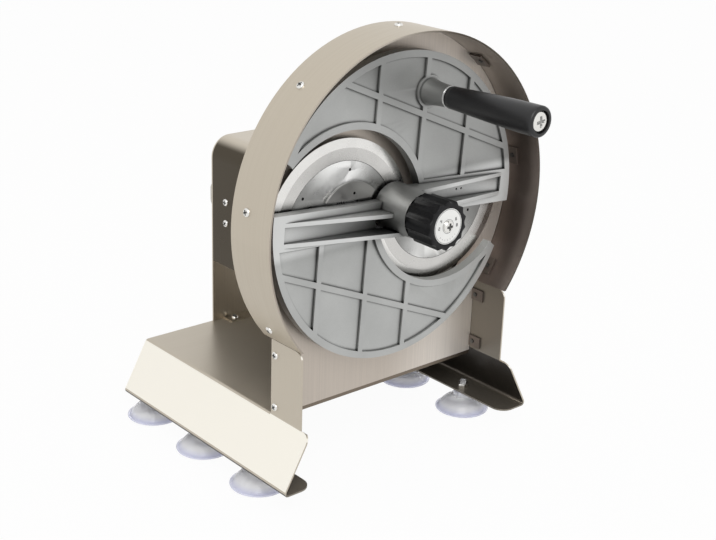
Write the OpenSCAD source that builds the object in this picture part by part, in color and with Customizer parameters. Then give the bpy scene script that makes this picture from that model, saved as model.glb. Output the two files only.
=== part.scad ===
// Hand-crank vegetable slicer: sheet-steel drum stand, cast slicing wheel, blade rotor and feed hopper.
// Millimetres, +Z up, the crank faces -Y. Every module is drawn in the axis frame: the crank axis is the
// Y axis there, and Y = 0 is the front rim of the drum. at_axis() moves it onto the table.

/* [Drum] */
// Outside radius of the drum ring
drum_r = 155; // [145:1:170]
// Depth of the drum ring from its front rim to its rear rim
drum_w = 51; // [47:1:60]
// Height of the crank axis above the table
axis_z = 238; // [230:1:260]
// Thickness of every folded sheet
sheet_t = 1.5; // [1:0.1:2]
// Clearance between sheets that are screwed together
seam = 0.3; // [0.2:0.05:0.5]
// Front rim of the drum to the front face of the back panel
panel_y = 40; // [38:1:44]
// Length of the tabs and flanges that the panel turns forward
panel_tab = 14; // [10:1:18]
// Width of one ring tab
tab_w = 16; // [12:1:22]
// Height of one side tab at a cheek screw
side_tab_h = 11; // [9:0.5:15]
// Number of ring screws
ring_screw_n = 7; // [5:1:9]
// Angle between neighbouring ring screws
ring_screw_pitch = 41; // [25:1:44]

/* [Base] */
// Half width over the side cheeks, which is also the fold of the flaps
cheek_x = 120.5; // [115:0.5:128]
// Half width over the bottom edges of the flaps
flap_x = 148; // [140:1:160]
// Crank axis down to the base plate's upper face
plate_drop = 167.5; // [162:0.5:180]
// Crank axis down to the underside of the lips
lip_drop = 217.5; // [205:0.5:222]
// Width of the inward lip under each flap
lip_w = 33; // [28:1:38]
// How far the flaps reach in front of the cheeks
flap_front = 12; // [6:1:20]
// Rear edge of the base plate, behind the drum's front rim
base_rear = 239; // [225:1:260]
// Depth of the side cheeks
cheek_w = 41; // [40:0.5:46]
// Inner bend radius of the folds
bend_r = 2; // [1:0.5:3]
// Corner radius of cheeks and flaps
corner_r = 8; // [3:1:12]
// Corner radius of the lips
lip_corner_r = 13; // [6:1:16]
// Lower cheek screw above the base plate
cheek_screw_up = 8; // [6:0.5:12]
// Height of the upper cheek screw above the lower one
cheek_screw_gap = 48; // [40:1:56]

/* [Suction cups] */
// Rim radius of a suction cup
cup_r = 26; // [20:1:28]
// Radius of a cup's neck under the lip
cup_neck_r = 9; // [7:0.5:12]
// Radius of the stud moulded into a cup
cup_stud_r = 3; // [2.5:0.25:4]
// Wall of the cup
cup_wall = 2.4; // [1.8:0.1:3]
// First cup behind the drum's front rim
cup_y = 51; // [36:1:56]
// Distance from cup to cup
cup_pitch = 84; // [60:1:86]
// Middle of the cups from the lip's inner edge
cup_inset = 10; // [8:0.5:15]
// Height of a cup's shoulder as a share of its whole height
cup_shoulder_share = 0.7; // [0.5:0.05:0.8]
// Cups along one flap
cup_n = 3; // [2:1:3]

/* [Hopper] */
// Left wall of the hopper, left of the crank axis
hopper_left = 43.5; // [40:0.5:50]
// Right wall of the hopper, right of the crank axis
hopper_right = 126; // [125:0.5:135]
// Top of the hopper above the crank axis
hopper_top = 21; // [18:0.5:30]
// Crank axis down to the bottom edge of the hopper's side walls
hopper_skirt = 103; // [95:1:112]
// Outer radius of the hopper's upper corners
hopper_r = 20; // [12:1:24]
// Partition between the bearing and the feed channel, right of the crank axis
partition_x = 37; // [36:0.5:44]
// Radius of the feed trough about the crank axis
trough_r = 122; // [112:1:123]
// Front edge of the loading window behind the drum's front rim
window_front = 95; // [80:1:120]
// Margin of the loading window to the walls and the rear panel
window_edge = 10; // [6:1:16]
// Forward tab at the foot of the rear panel
foot_tab = 14; // [10:1:20]
// Inset of the foot tab from the rear panel's sides
foot_inset = 13; // [8:1:20]
// Foot screws in from the foot tab's ends
foot_screw_in = 8; // [5:0.5:14]
// Crank axis down to the upper hopper screw
hopper_screw_drop = 38; // [30:1:50]
// Upper hopper screw down to the lower one
hopper_screw_gap = 21; // [14:1:30]
// Hopper screws in front of the rear panel
hopper_screw_in = 22; // [12:1:26]
// Depth of the rear panel's side tab
side_tab_w = 32; // [28:1:40]

/* [Pusher] */
// Thickness of the pusher block
pusher_t = 14; // [10:1:20]
// Clearance of the pusher to the trough
pusher_gap = 1.5; // [1:0.25:3]
// Radius of the two guide rods
rod_r = 5; // [4:0.5:6]
// Left guide rod, right of the crank axis
rod_x = 58; // [54:1:66]
// Clearance of the right rod's bush to the trough
rod_clear = 4.6; // [2:0.1:12]
// Crank axis down to the guide rods
rod_drop = 44; // [36:1:52]
// Section height of the pull bar
bar_h = 25; // [20:1:30]
// Section depth of the pull bar
bar_w = 15; // [12:1:20]
// Pull bar's front face behind the rear panel
bar_stand = 10; // [8:1:20]
// Length of the pull bar
bar_len = 138; // [120:1:150]

/* [Slicing wheel] */
// Outside radius of the cast wheel
wheel_r = 136; // [130:0.5:140]
// Turn of the spoke at rest
spoke_tilt = -3.8; // [-15:0.1:15]
// Crank axis to the straight edge of each opening, along the spoke
spoke_edge = 8; // [6:0.5:12]
// Crank axis to the pockets beside the spoke
pocket_edge = 22.5; // [20:0.5:28]
// Crank axis to the middle of each arm's channel
channel_off = 9; // [7:0.5:11]
// Outside width of the channel
channel_w = 21; // [18:0.5:23]
// Front edge of the channel's walls at the hub, behind the drum's front rim
channel_front = 2; // [-4:0.5:10]
// Centre of each slicing opening, along and across the spoke
open_at = [-58, -12]; // [-62:0.5:0]
// Radius of each slicing opening
open_r = 85; // [82:0.5:87]
// Blunt tip of each crescent above the spoke
tip_up = 32; // [26:1:38]
// Radius of the cut that blunts the tip
tip_cut = 21; // [14:1:24]
// Front face of the rim border, behind the drum's front rim
wheel_y = 20.5; // [18:0.5:24]
// Thickness of the cast face
face_t = 6.5; // [5:0.5:8]
// Height of the ribs above the pocket floor
rib_h = 2.5; // [1.5:0.5:4]
// Width of the ribs
rib_w = 5; // [4:0.5:7]
// Width of the rim border
rim_w = 6; // [5:0.5:9]
// Places of the cross ribs along the upper half of the spoke
upper_ribs = [-33, 19, 73]; // [-100:1:100]
// Places of the cross ribs along the lower half of the spoke
lower_ribs = [-84, -31, 19]; // [-100:1:100]
// Slope of the long slanted ribs against the spoke
slant = -19; // [-30:1:-10]
// Distance of the slanted ribs from the crank axis
slant_off = 82; // [70:1:90]
// Radius of the hub at its front end
hub_r = 20; // [17:0.5:24]
// Radius of the hub at the cast face
hub_root_r = 21.5; // [20:0.5:30]
// How far the hub stands in front of the drum's front rim
hub_out = 8; // [4:0.5:12]
// Thickness of the channel's walls
spoke_wall = 3.5; // [2.5:0.5:5]
// Places of the two small holes in the right arm
pin_xs = [70, 76]; // [60:1:90]
// Radius of the two small holes
pin_r = 1; // [0.6:0.1:1.5]

/* [Blades] */
// Radius of the curved cutting edge
blade_r = 77; // [74:0.5:78]
// Radius where the bevel starts
bevel_r = 69; // [65:0.5:71]
// Inner radius of the blade
blade_in_r = 58; // [54:0.5:61]
// Centre of the upper blade's arc, along and across the spoke
upper_arc = [-55, -14]; // [-60:0.5:0]
// Centre of the lower blade's arc, seen with the rotor turned half round
lower_arc = [-57.5, -2]; // [-60:0.5:0]
// Radius of the raised boss on each half of the carrier
plate_r = 35; // [30:0.5:38]
// Centre of the raised boss, along and across the spoke
plate_at = [-46, -9]; // [-60:0.5:0]
// Height of the raised boss
plate_h = 3; // [1:0.5:4]
// Small holes in each half of the carrier, along and across the spoke
carrier_holes = [[-49.5, 36], [-98, 16], [-45, 16]]; // [-110:0.5:50]
// Radius of the small holes
carrier_hole_r = 1.3; // [0.8:0.1:1.8]
// Thickness of a blade
blade_t = 1.6; // [1.2:0.1:2.2]
// Thickness of the cutting edge
edge_t = 0.3; // [0.2:0.1:0.6]
// Gap between wheel and blades with the dial at rest
slice_gap = 3; // [2.5:0.1:4]
// Thickness of the blade carrier
carrier_t = 3; // [2:0.5:3.5]
// Radius of the blade screws' heads behind the carrier
blade_screw_r = 3; // [2.5:0.25:4]
// Height of the blade screws' heads
blade_screw_h = 1.2; // [0.8:0.1:1.6]
// Steel left in front of the blade screws
blade_skin = 0.4; // [0.3:0.1:0.6]
// Places of the screws round each blade, in degrees
blade_screw_angles = [35, 90, 145]; // [20:1:160]

/* [Shaft] */
// Radius of the main shaft
shaft_r = 8; // [7:0.5:9]
// Radius of the threaded stud in front of the shaft
stud_r = 5; // [4:0.5:6]
// Share of the knob's length that the stud fills at rest
stud_share = 0.6; // [0.4:0.05:0.7]
// Travel of the wheel towards the blades
thin_travel = 2; // [1:0.25:2]
// Running clearance of shafts, rods and spindles
run = 0.06; // [0.03:0.01:0.09]
// Half length of the bearing housing's two-bolt flange
flange_r = 34; // [30:0.5:35]
// Body radius of the bearing housing, which is also half the flange's height
bearing_r = 17; // [15:0.5:17.5]
// Length of the bearing housing behind the panel
bearing_len = 40; // [34:1:50]
// Wall of the bearing bushes
bush_t = 2.5; // [2:0.25:3]
// Length of each bush
bush_len = 14; // [10:1:16]

/* [Knob] */
// Radius of the knob
knob_r = 22; // [19:0.2:24]
// Length of the knob
knob_len = 31; // [24:1:36]
// Number of finger hollows round the knob
knob_lobes = 14; // [8:1:16]
// Depth of the finger hollows
hollow_d = 1.4; // [0.8:0.1:2]
// Radius of the dial plate
dial_r = 15.4; // [12:0.2:17]
// Thickness of the dial plate
dial_t = 1; // [0.8:0.1:1.5]
// Head radius of the dial screw
dial_screw_r = 5.5; // [4:0.25:7]
// Head height of the dial screw
dial_screw_h = 2.6; // [2:0.1:3.5]

/* [Crank] */
// Crank axis to the grip's spindle
crank_r = 102.5; // [95:0.5:110]
// Angle of the grip above the spoke
crank_angle = 77.1; // [60:0.1:100]
// Radius of the cast boss at its root
boss_root_r = 12; // [11:0.5:15]
// Radius of the cast boss at its tip
boss_tip_r = 9.2; // [8:0.1:11]
// How far the boss stands in front of the drum's front rim
boss_out = 3; // [0:0.5:8]
// Width of the raised pad round the boss
boss_pad = 2; // [1:0.5:4]
// Radius of the spindle
spindle_r = 4.5; // [4:0.25:6]
// Length of the grip
grip_len = 100; // [90:1:120]
// Radius of the grip near the boss
grip_r = 9.6; // [9:0.1:11]
// Radius of the grip at its free end
grip_end_r = 12.8; // [11:0.1:15]
// Rounding of the grip's ends
grip_edge = 1.8; // [1:0.1:2.5]
// Swell of the grip near each end
grip_swell = 0.5; // [0.2:0.1:1]
// Thickness of the collar washer
collar_t = 2; // [1:0.5:3]
// Radius of the end screw's head
cap_r = 9; // [7.5:0.25:9.5]
// Thickness of the end screw's head
cap_t = 3; // [2:0.5:4]

/* [Fasteners] */
// Head radius of the sheet screws
screw_head_r = 3.6; // [3:0.1:4]
// Head height of the sheet screws
screw_head_h = 2; // [1.5:0.1:2.6]
// Shank radius of the sheet screws
screw_r = 1.9; // [1.5:0.1:2.2]
// Shank length of the sheet screws
screw_len = 4.2; // [4:0.1:6]
// Radius of a screw head's dome in head radii
head_dome = 1.2; // [1.1:0.05:2]
// Corner radius of a nut in bolt radii
nut_ratio = 1.8; // [1.6:0.05:2]
// Height of a nut
nut_h = 4; // [3:0.5:5]
// Thickness of the shaft washer
washer_t = 2; // [1:0.5:3]
// Chamfer of shaft ends and screw heads
chamfer = 1; // [0.5:0.1:1.5]

/* [Hidden] */
$fn = 96;

eps = 0.01;
// colours, as the photo shows them
steel = [0.75, 0.71, 0.64];
cast = [0.67, 0.68, 0.67];
bright = [0.9, 0.9, 0.88];
black = [0.1, 0.1, 0.1];
clear = [0.82, 0.82, 0.92];
bronze = [0.72, 0.55, 0.3];
pale = [0.86, 0.85, 0.82];

ring_in = drum_r - sheet_t;
ring_end = sqrt(drum_r * drum_r - cheek_x * cheek_x);
panel_back = panel_y + sheet_t;
panel_r = ring_in - seam;
panel_x = cheek_x - sheet_t - seam;
panel_drop = plate_drop + 2 * sheet_t;
lip_in = flap_x - lip_w;
cup_x = lip_in + cup_inset;
rear_y = base_rear - sheet_t;
hopper_y = panel_back;
bolt_r = (flange_r + bearing_r) / 2;
face_y = wheel_y + rib_h;
wheel_back = face_y + face_t;
blade_y = wheel_back + slice_gap;
carrier_y = blade_y + blade_t;
carrier_back = carrier_y + carrier_t;
bush_r = shaft_r + run + bush_t;
spring_wire = 1;
spring_turns = 6;
spring_room = 1.2;
spring_r = shaft_r + spring_wire + 2 * spring_room;
spring_well_r = spring_r + spring_wire + spring_room;
spring_front = hub_out / 2;
knob_back = -hub_out - seam;
knob_front = knob_back - knob_len;
stud_front = knob_back - knob_len * stud_share;
shoulder_y = knob_back + thin_travel + chamfer;
crank_x = crank_r * cos(crank_angle + spoke_tilt);
crank_z = crank_r * sin(crank_angle + spoke_tilt);
grip_back = -boss_out - collar_t - seam;
grip_front = grip_back - grip_len;
bar_y = rear_y + sheet_t + bar_stand;
bar_x = (hopper_right - hopper_left) / 2;
rod_reach = trough_r - rod_r - 2 * bush_t - rod_clear;
rod_xs = [rod_x, sqrt(rod_reach * rod_reach - rod_drop * rod_drop)];
rod_end = bar_y + bar_w + nut_h + chamfer;
pusher_y = panel_back + seam;
bush_flange = 3;
// the crank's free end and the pull bar set the part's length
front_y = -(grip_front + rod_end) / 2;

function unit(v) = v / norm(v);
function side(v) = [v[1], -v[0]];
function reversed(p) = [for (i = [len(p) - 1:-1:0]) p[i]];
// points of the arc that rounds the corner a-b-c with radius r
function corner_arc(a, b, c, r, n = 4) =
    let (u = unit(a - b), v = unit(c - b), half = acos(u * v) / 2,
         m = b + unit(u + v) * r / sin(half),
         s = b + u * r / tan(half) - m, e = b + v * r / tan(half) - m,
         a0 = atan2(s[1], s[0]), da = (atan2(e[1], e[0]) - a0 + 540) % 360 - 180)
    [for (i = [0:n]) m + r * [cos(a0 + da * i / n), sin(a0 + da * i / n)]];
function rounded(p, r) = concat([p[0]],
    [for (i = [1:len(p) - 2]) each corner_arc(p[i - 1], p[i], p[i + 1], r)], [p[len(p) - 1]]);
// a point of the path p moved sideways by t, mitred at its corners
function moved(p, i, t) =
    let (a = i == 0 ? p[1] - p[0] : p[i] - p[i - 1], b = i == len(p) - 1 ? a : p[i + 1] - p[i],
         u = side(unit(a)), v = side(unit(b)))
    p[i] + t * (u + v) / (1 + u * v);
function sheet_outline(p, t) = concat(p, reversed([for (i = [0:len(p) - 1]) moved(p, i, t)]));

// moves the axis frame onto the table
module at_axis() translate([0, front_y, axis_z]) children();

// a drawing in X and Z, made t thick from y backwards
module slab(y, t) translate([0, y + t, 0]) rotate([90, 0, 0]) linear_extrude(t) children();

// a round bar along Y
module bar(x, z, y0, y1, r) translate([x, y0, z]) rotate([-90, 0, 0]) cylinder(h = y1 - y0, r = r);

// a radius and Y drawing, turned about the Y line through x, z
module turned(x = 0, z = 0) translate([x, 0, z]) rotate([-90, 0, 0]) rotate_extrude() children();

// turns by an angle about the crank axis, seen from the front
module spin(a) rotate([0, -a, 0]) children();

// a folded sheet whose outer face follows the path p
module folded(p, y, t) slab(y, t) polygon(sheet_outline(rounded(p, bend_r + sheet_t), sheet_t));

// a rectangle with round upper corners
module round_top(x0, x1, z0, z1, r) {
    translate([x0, z0]) square([x1 - x0, z1 - z0 - r]);
    translate([x0 + r, z0]) square([x1 - x0 - 2 * r, z1 - z0]);
    for (x = [x0 + r, x1 - r]) translate([x, z1 - r]) circle(r);
}

// what a round corner of radius r takes off a square one, inside the quarter towards +X +Y
module corner_waste(r) difference() {
    square(r + 1);
    circle(r);
}

// a pan head that stands on Z = 0
module screw_head(r, h) rotate_extrude() intersection() {
    translate([0, h - r * head_dome]) circle(r * head_dome);
    square([r, h]);
}

// a pan-head sheet screw, its shank along -Z and its head's seat at Z = 0
module sheet_screw(length = screw_len) {
    translate([0, 0, -length]) cylinder(h = length + eps, r = screw_r);
    screw_head(screw_head_r, screw_head_h);
}

// a hexagon nut along Z
module hex_nut(r, bore, h) difference() {
    cylinder(h = h, r = r, $fn = 6);
    translate([0, 0, -1]) cylinder(h = h + 2, r = bore);
}

// angles of the ring screws
ring_angles = [for (i = [0:ring_screw_n - 1]) 90 + (i - (ring_screw_n - 1) / 2) * ring_screw_pitch];
ring_screw_y = panel_y - panel_tab / 2 - sheet_t;
cheek_zs = [cheek_screw_up + cheek_screw_gap - plate_drop, cheek_screw_up - plate_drop];
cheek_screw_y = panel_y - panel_tab / 3;

// drum

module feed_opening() intersection() {
    circle(trough_r);
    translate([partition_x + sheet_t, -drum_r])
        square([hopper_right - partition_x, drum_r + hopper_top - sheet_t - corner_r]);
}

module drum_back_panel() color(steel) at_axis() difference() {
    union() {
        slab(panel_y, sheet_t) {
            circle(panel_r);
            translate([-panel_x, -panel_drop]) square([2 * panel_x, panel_drop - ring_end]);
        }
        // ring tabs
        slab(panel_y - panel_tab, panel_tab + eps) for (a = ring_angles) intersection() {
            difference() {
                circle(panel_r);
                circle(panel_r - sheet_t);
            }
            rotate(a) translate([0, -tab_w / 2]) square([drum_r, tab_w]);
        }
        // side tabs at the cheek screws, and the bottom fold under the base plate
        for (s = [-1, 1], z = cheek_zs) slab(panel_y - panel_tab, panel_tab + eps)
            translate([s * (panel_x - sheet_t / 2) - sheet_t / 2, z - side_tab_h / 2])
                square([sheet_t, side_tab_h]);
        translate([-panel_x + bend_r, panel_y, -panel_drop])
            cube([2 * (panel_x - bend_r), panel_tab + sheet_t, sheet_t]);
    }
    slab(panel_y - 1, sheet_t + 2) feed_opening();
    bar(0, 0, panel_y - 1, panel_back + 1, shaft_r + bush_t);
    for (s = [-1, 1]) bar(s * bolt_r, 0, panel_y - 1, panel_back + 1, screw_r + seam);
    for (a = ring_angles) spin(a) translate([panel_r - sheet_t - 1, ring_screw_y, 0])
        rotate([0, 90, 0]) cylinder(h = sheet_t + 2, r = screw_r + seam);
    for (s = [-1, 1], z = cheek_zs) translate([s * panel_x, cheek_screw_y, z])
        rotate([0, 90, 0]) cylinder(h = 4 * sheet_t, r = screw_r + seam, center = true);
}

module drum_ring() color(steel) at_axis() difference() {
    bar(0, 0, 0, drum_w, drum_r);
    bar(0, 0, -1, drum_w + 1, ring_in);
    translate([-drum_r, -1, -drum_r - ring_end]) cube([2 * drum_r, drum_w + 2, drum_r]);
    for (a = ring_angles) spin(a) translate([ring_in - 1, ring_screw_y, 0])
        rotate([0, 90, 0]) cylinder(h = sheet_t + 2, r = screw_r + seam);
}

module ring_screws() color(bright) at_axis()
    for (a = ring_angles) spin(a) translate([drum_r, ring_screw_y, 0]) rotate([0, 90, 0]) sheet_screw();

module cheek_screws() color(bright) at_axis()
    for (s = [-1, 1], z = cheek_zs) translate([s * cheek_x, cheek_screw_y, z])
        rotate([0, s * 90, 0]) sheet_screw();

// base

// outer face of one foot, from the lip's inner edge to the fold
foot_path = [[-lip_in, -lip_drop], [-flap_x, -lip_drop], [-cheek_x, -plate_drop]];

module one_foot() {
    folded(concat(foot_path, [[0, -plate_drop]]), panel_back, base_rear - panel_back);
    folded(concat(foot_path, [[-cheek_x, -ring_end - seam]]), 0, cheek_w);
    folded(foot_path, -flap_front, flap_front + eps);
    folded(foot_path, cheek_w - eps, panel_back - cheek_w + 2 * eps);
}

module lip_corner_cuts() for (m = [0, 1]) mirror([m, 0, 0])
    translate([-lip_in - lip_corner_r, 0, -lip_drop - 1]) {
        translate([0, base_rear - lip_corner_r, 0]) linear_extrude(3 * sheet_t) corner_waste(lip_corner_r);
        translate([0, lip_corner_r - flap_front, 0]) linear_extrude(3 * sheet_t) mirror([0, 1])
            corner_waste(lip_corner_r);
    }

module flap_corner_cuts() translate([-flap_x - 1, corner_r - flap_front, -plate_drop - corner_r])
    rotate([90, 0, 90]) linear_extrude(2 * flap_x + 2) mirror([1, 0]) corner_waste(corner_r);

module cheek_corner_cuts() translate([-cheek_x - 1, corner_r, -ring_end - seam - corner_r])
    rotate([90, 0, 90]) linear_extrude(2 * cheek_x + 2) mirror([1, 0]) corner_waste(corner_r);

module base_sheet() color(steel) at_axis() difference() {
    for (m = [0, 1]) mirror([m, 0, 0]) one_foot();
    lip_corner_cuts();
    cheek_corner_cuts();
    flap_corner_cuts();
    for (s = [-1, 1], i = [0:cup_n - 1]) translate([s * cup_x, cup_y + i * cup_pitch, -lip_drop - 1])
        cylinder(h = sheet_t + 2, r = cup_stud_r + seam);
    for (s = [-1, 1], z = cheek_zs) translate([s * (cheek_x - sheet_t / 2), cheek_screw_y, z])
        rotate([0, 90, 0]) cylinder(h = 2 * sheet_t, r = screw_r + seam, center = true);
    for (x = foot_screw_xs) translate([x, foot_screw_y, -plate_drop - 2 * sheet_t])
        cylinder(h = 3 * sheet_t, r = screw_r + seam);
}

// suction cups

cup_h = axis_z - lip_drop;
cup_shoulder = cup_h * cup_shoulder_share;

module suction_cup() rotate_extrude() {
    // stud, neck, and a flaring skirt that is hollow below
    translate([0, cup_shoulder]) square([cup_stud_r, cup_h - cup_shoulder + sheet_t + nut_h + cup_stud_r]);
    polygon(concat([[0, cup_h], [cup_neck_r, cup_h]],
        [for (i = [0:6]) [cup_neck_r + (cup_r - cup_neck_r) * sin(i * 15),
            cup_wall + (cup_shoulder - cup_wall) * cos(i * 15)]],
        [[cup_r, 0], [cup_r - 2 * cup_wall, 0], [cup_neck_r, cup_shoulder - 2 * cup_wall],
            [0, cup_shoulder - 2 * cup_wall]]));
}

module cup_row(s) for (i = [0:cup_n - 1])
    translate([s * cup_x, cup_y + i * cup_pitch + front_y, 0]) children();

module suction_cups_left() color(clear) cup_row(-1) suction_cup();

module suction_cups_right() color(clear) cup_row(1) suction_cup();

module cup_nuts() color(bright) for (s = [-1, 1]) cup_row(s)
    translate([0, 0, cup_h + sheet_t]) hex_nut(nut_ratio * cup_stud_r, cup_stud_r + eps, nut_h);

// hopper

hopper_screw_y = rear_y - hopper_screw_in;
hopper_screw_zs = [-hopper_screw_drop, -hopper_screw_drop - hopper_screw_gap];
foot_screw_y = rear_y - foot_tab / 2;
foot_screw_xs = [foot_inset + foot_screw_in - hopper_left, hopper_right - foot_inset - foot_screw_in];

module hopper_shell() color(steel) at_axis() difference() {
    slab(hopper_y, rear_y - hopper_y) difference() {
        round_top(-hopper_left, hopper_right, -hopper_skirt, hopper_top, hopper_r);
        translate([0, -1]) round_top(-hopper_left + sheet_t, hopper_right - sheet_t, -hopper_skirt,
            hopper_top - sheet_t + 1, hopper_r - sheet_t);
    }
    // room for the drum ring, which reaches behind the panel
    slab(hopper_y - 1, drum_w + seam - hopper_y + 1) difference() {
        square(4 * drum_r, center = true);
        circle(ring_in - seam);
    }
    // loading window in the top and the upper right wall
    translate([partition_x + window_edge, window_front, hopper_top - hopper_r - window_edge])
        cube([hopper_right, rear_y - window_edge - window_front, hopper_r + 2 * window_edge]);
    for (z = hopper_screw_zs) translate([-hopper_left, hopper_screw_y, z])
        rotate([0, 90, 0]) cylinder(h = 4 * sheet_t, r = screw_r + seam, center = true);
}

module feed_trough() color(steel) at_axis() slab(hopper_y, rear_y - hopper_y) {
    intersection() {
        difference() {
            circle(trough_r + sheet_t);
            circle(trough_r);
        }
        translate([partition_x, -drum_r]) square([drum_r, drum_r]);
    }
    translate([partition_x, -sqrt(trough_r * trough_r - partition_x * partition_x)])
        square([sheet_t, sqrt(trough_r * trough_r - partition_x * partition_x) + hopper_top - sheet_t]);
}

module rear_panel() color(steel) at_axis() difference() {
    union() {
        slab(rear_y, sheet_t) round_top(-hopper_left, hopper_right, -plate_drop, hopper_top, hopper_r);
        translate([-hopper_left + foot_inset, rear_y - foot_tab, -plate_drop])
            cube([hopper_left + hopper_right - 2 * foot_inset, foot_tab + eps, sheet_t]);
        // tab that the hopper's left wall is screwed to
        translate([-hopper_left + sheet_t + seam, rear_y - side_tab_w,
                hopper_screw_zs[1] - screw_head_r - side_tab_w / 4])
            cube([sheet_t, side_tab_w + eps,
                hopper_screw_zs[0] - hopper_screw_zs[1] + 2 * screw_head_r + side_tab_w / 2]);
    }
    for (x = rod_xs) bar(x, -rod_drop, rear_y - 1, rear_y + sheet_t + 1, rod_r + bush_t);
    for (z = hopper_screw_zs) translate([-hopper_left + 2 * sheet_t, hopper_screw_y, z])
        rotate([0, 90, 0]) cylinder(h = 4 * sheet_t, r = screw_r + seam, center = true);
    for (x = foot_screw_xs) translate([x, foot_screw_y, -plate_drop - 1])
        cylinder(h = sheet_t + 2, r = screw_r + seam);
}

module hopper_screws() color(bright) at_axis() for (z = hopper_screw_zs)
    translate([-hopper_left, hopper_screw_y, z]) rotate([0, -90, 0]) sheet_screw();

module foot_screws() color(bright) at_axis() for (x = foot_screw_xs)
    translate([x, foot_screw_y, -plate_drop + sheet_t]) sheet_screw();

// pusher

module rod_bushes() color(bronze) at_axis() for (x = rod_xs) difference() {
    union() {
        bar(x, -rod_drop, rear_y - bush_flange, rear_y + sheet_t + bush_flange, rod_r + bush_t - eps);
        bar(x, -rod_drop, rear_y - bush_flange, rear_y, rod_r + 2 * bush_t);
    }
    bar(x, -rod_drop, rear_y - 2 * bush_flange, rear_y + 3 * bush_flange, rod_r + run);
}

pusher_x = hopper_right - sheet_t - pusher_gap;
pusher_z = hopper_top - sheet_t - pusher_gap;

module pusher_block() color(pale) at_axis() difference() {
    slab(pusher_y, pusher_t) intersection() {
        circle(trough_r - pusher_gap);
        translate([partition_x + sheet_t + pusher_gap, -drum_r]) square([drum_r, 2 * drum_r]);
        round_top(-hopper_left, pusher_x, -drum_r, pusher_z, hopper_r - sheet_t - pusher_gap);
    }
    for (x = rod_xs) bar(x, -rod_drop, pusher_y + pusher_t / 2, pusher_y + pusher_t + 1, rod_r);
}

module pusher_rods() color(bright) at_axis() for (x = rod_xs)
    bar(x, -rod_drop, pusher_y + pusher_t / 2, rod_end, rod_r);

module pusher_bar() color(pale) at_axis() difference() {
    translate([bar_x - bar_len / 2, bar_y, -rod_drop]) rotate([0, 90, 0]) linear_extrude(bar_len) {
        translate([-bar_h / 2 + bar_w / 2, 0]) square([bar_h - bar_w, bar_w]);
        for (s = [-1, 1]) translate([s * (bar_h - bar_w) / 2, bar_w / 2]) circle(bar_w / 2);
    }
    for (x = rod_xs) bar(x, -rod_drop, bar_y - 1, bar_y + bar_w + 1, rod_r + eps);
}

module pusher_nuts() color(bright) at_axis() for (x = rod_xs) translate([x, bar_y + bar_w, -rod_drop])
    rotate([-90, 0, 0]) hex_nut(nut_ratio * rod_r, rod_r + eps, nut_h);

// bearing

module bearing_housing() color(cast) at_axis() difference() {
    union() {
        slab(panel_back, bush_flange) intersection() {
            circle(flange_r);
            square([2 * flange_r, 2 * bearing_r], center = true);
        }
        bar(0, 0, panel_back, panel_back + bearing_len, bearing_r);
    }
    bar(0, 0, panel_back - 1, panel_back + bearing_len + 1, bush_r);
    for (s = [-1, 1]) bar(s * bolt_r, 0, panel_back - 1, panel_back + 2 * bush_flange, screw_r + seam);
}

module bearing_bolts() color(bright) at_axis() for (s = [-1, 1])
    translate([s * bolt_r, panel_back + bush_flange, 0]) rotate([-90, 0, 0])
        sheet_screw(bush_flange + sheet_t + seam);

module bush(y) turned() translate([shaft_r + run, y]) square([bush_t, bush_len]);

module front_bush() color(bronze) at_axis() bush(panel_back);

module rear_bush() color(bronze) at_axis() bush(panel_back + bearing_len - bush_len);

// blade rotor

shaft_rear = panel_back + bearing_len + seam + washer_t + nut_h + 2 * chamfer;

module main_shaft() color(bright) at_axis() turned() polygon([[0, stud_front],
    [stud_r - chamfer, stud_front], [stud_r, stud_front + chamfer], [stud_r, shoulder_y],
    [shaft_r, shoulder_y], [shaft_r, shaft_rear - chamfer], [shaft_r - chamfer, shaft_rear],
    [0, shaft_rear]]);

arcs = [upper_arc, lower_arc];
blade_screw_at = (bevel_r + blade_in_r) / 2;

module half_plane(from) translate([-2 * wheel_r, from]) square([4 * wheel_r, 2 * wheel_r]);

module half_disc(h, r) rotate(h * 180) intersection() {
    translate(arcs[h]) circle(r);
    half_plane(0);
}

module both_halves() for (a = [0, 180]) rotate(a) children();

module blade_carrier() color(cast) at_axis() spin(spoke_tilt) difference() {
    union() {
        slab(carrier_y, carrier_t) {
            for (h = [0, 1]) half_disc(h, bevel_r);
            square([2 * (wheel_r - rim_w), 2 * spoke_edge], center = true);
        }
        // raised plates that the blades lie round, and a boss on each inside the wheel's opening
        slab(blade_y, blade_t + eps) difference() {
            for (h = [0, 1]) half_disc(h, blade_in_r);
            circle(spring_well_r);
        }
        slab(blade_y - plate_h, plate_h + eps) both_halves() difference() {
            translate(plate_at) circle(plate_r);
            circle(hub_root_r + rim_w);
            mirror([0, 1]) half_plane(-spoke_edge - rib_h);
        }
    }
    bar(0, 0, blade_y - 1, carrier_back + 1, shaft_r + eps);
    blade_screw_places() bar(0, 0, -1, 2 * carrier_t, screw_r + seam);
    for (h = [0, 180], q = carrier_holes) spin(h)
        bar(q[0], q[1], blade_y - plate_h - 1, carrier_y, carrier_hole_r);
}

// screw places on the blades, in the carrier's front face
module blade_screw_places() for (h = [0, 1], a = blade_screw_angles) spin(h * 180)
    translate([arcs[h][0] + blade_screw_at * cos(a), carrier_y, arcs[h][1] + blade_screw_at * sin(a)])
        children();

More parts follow.
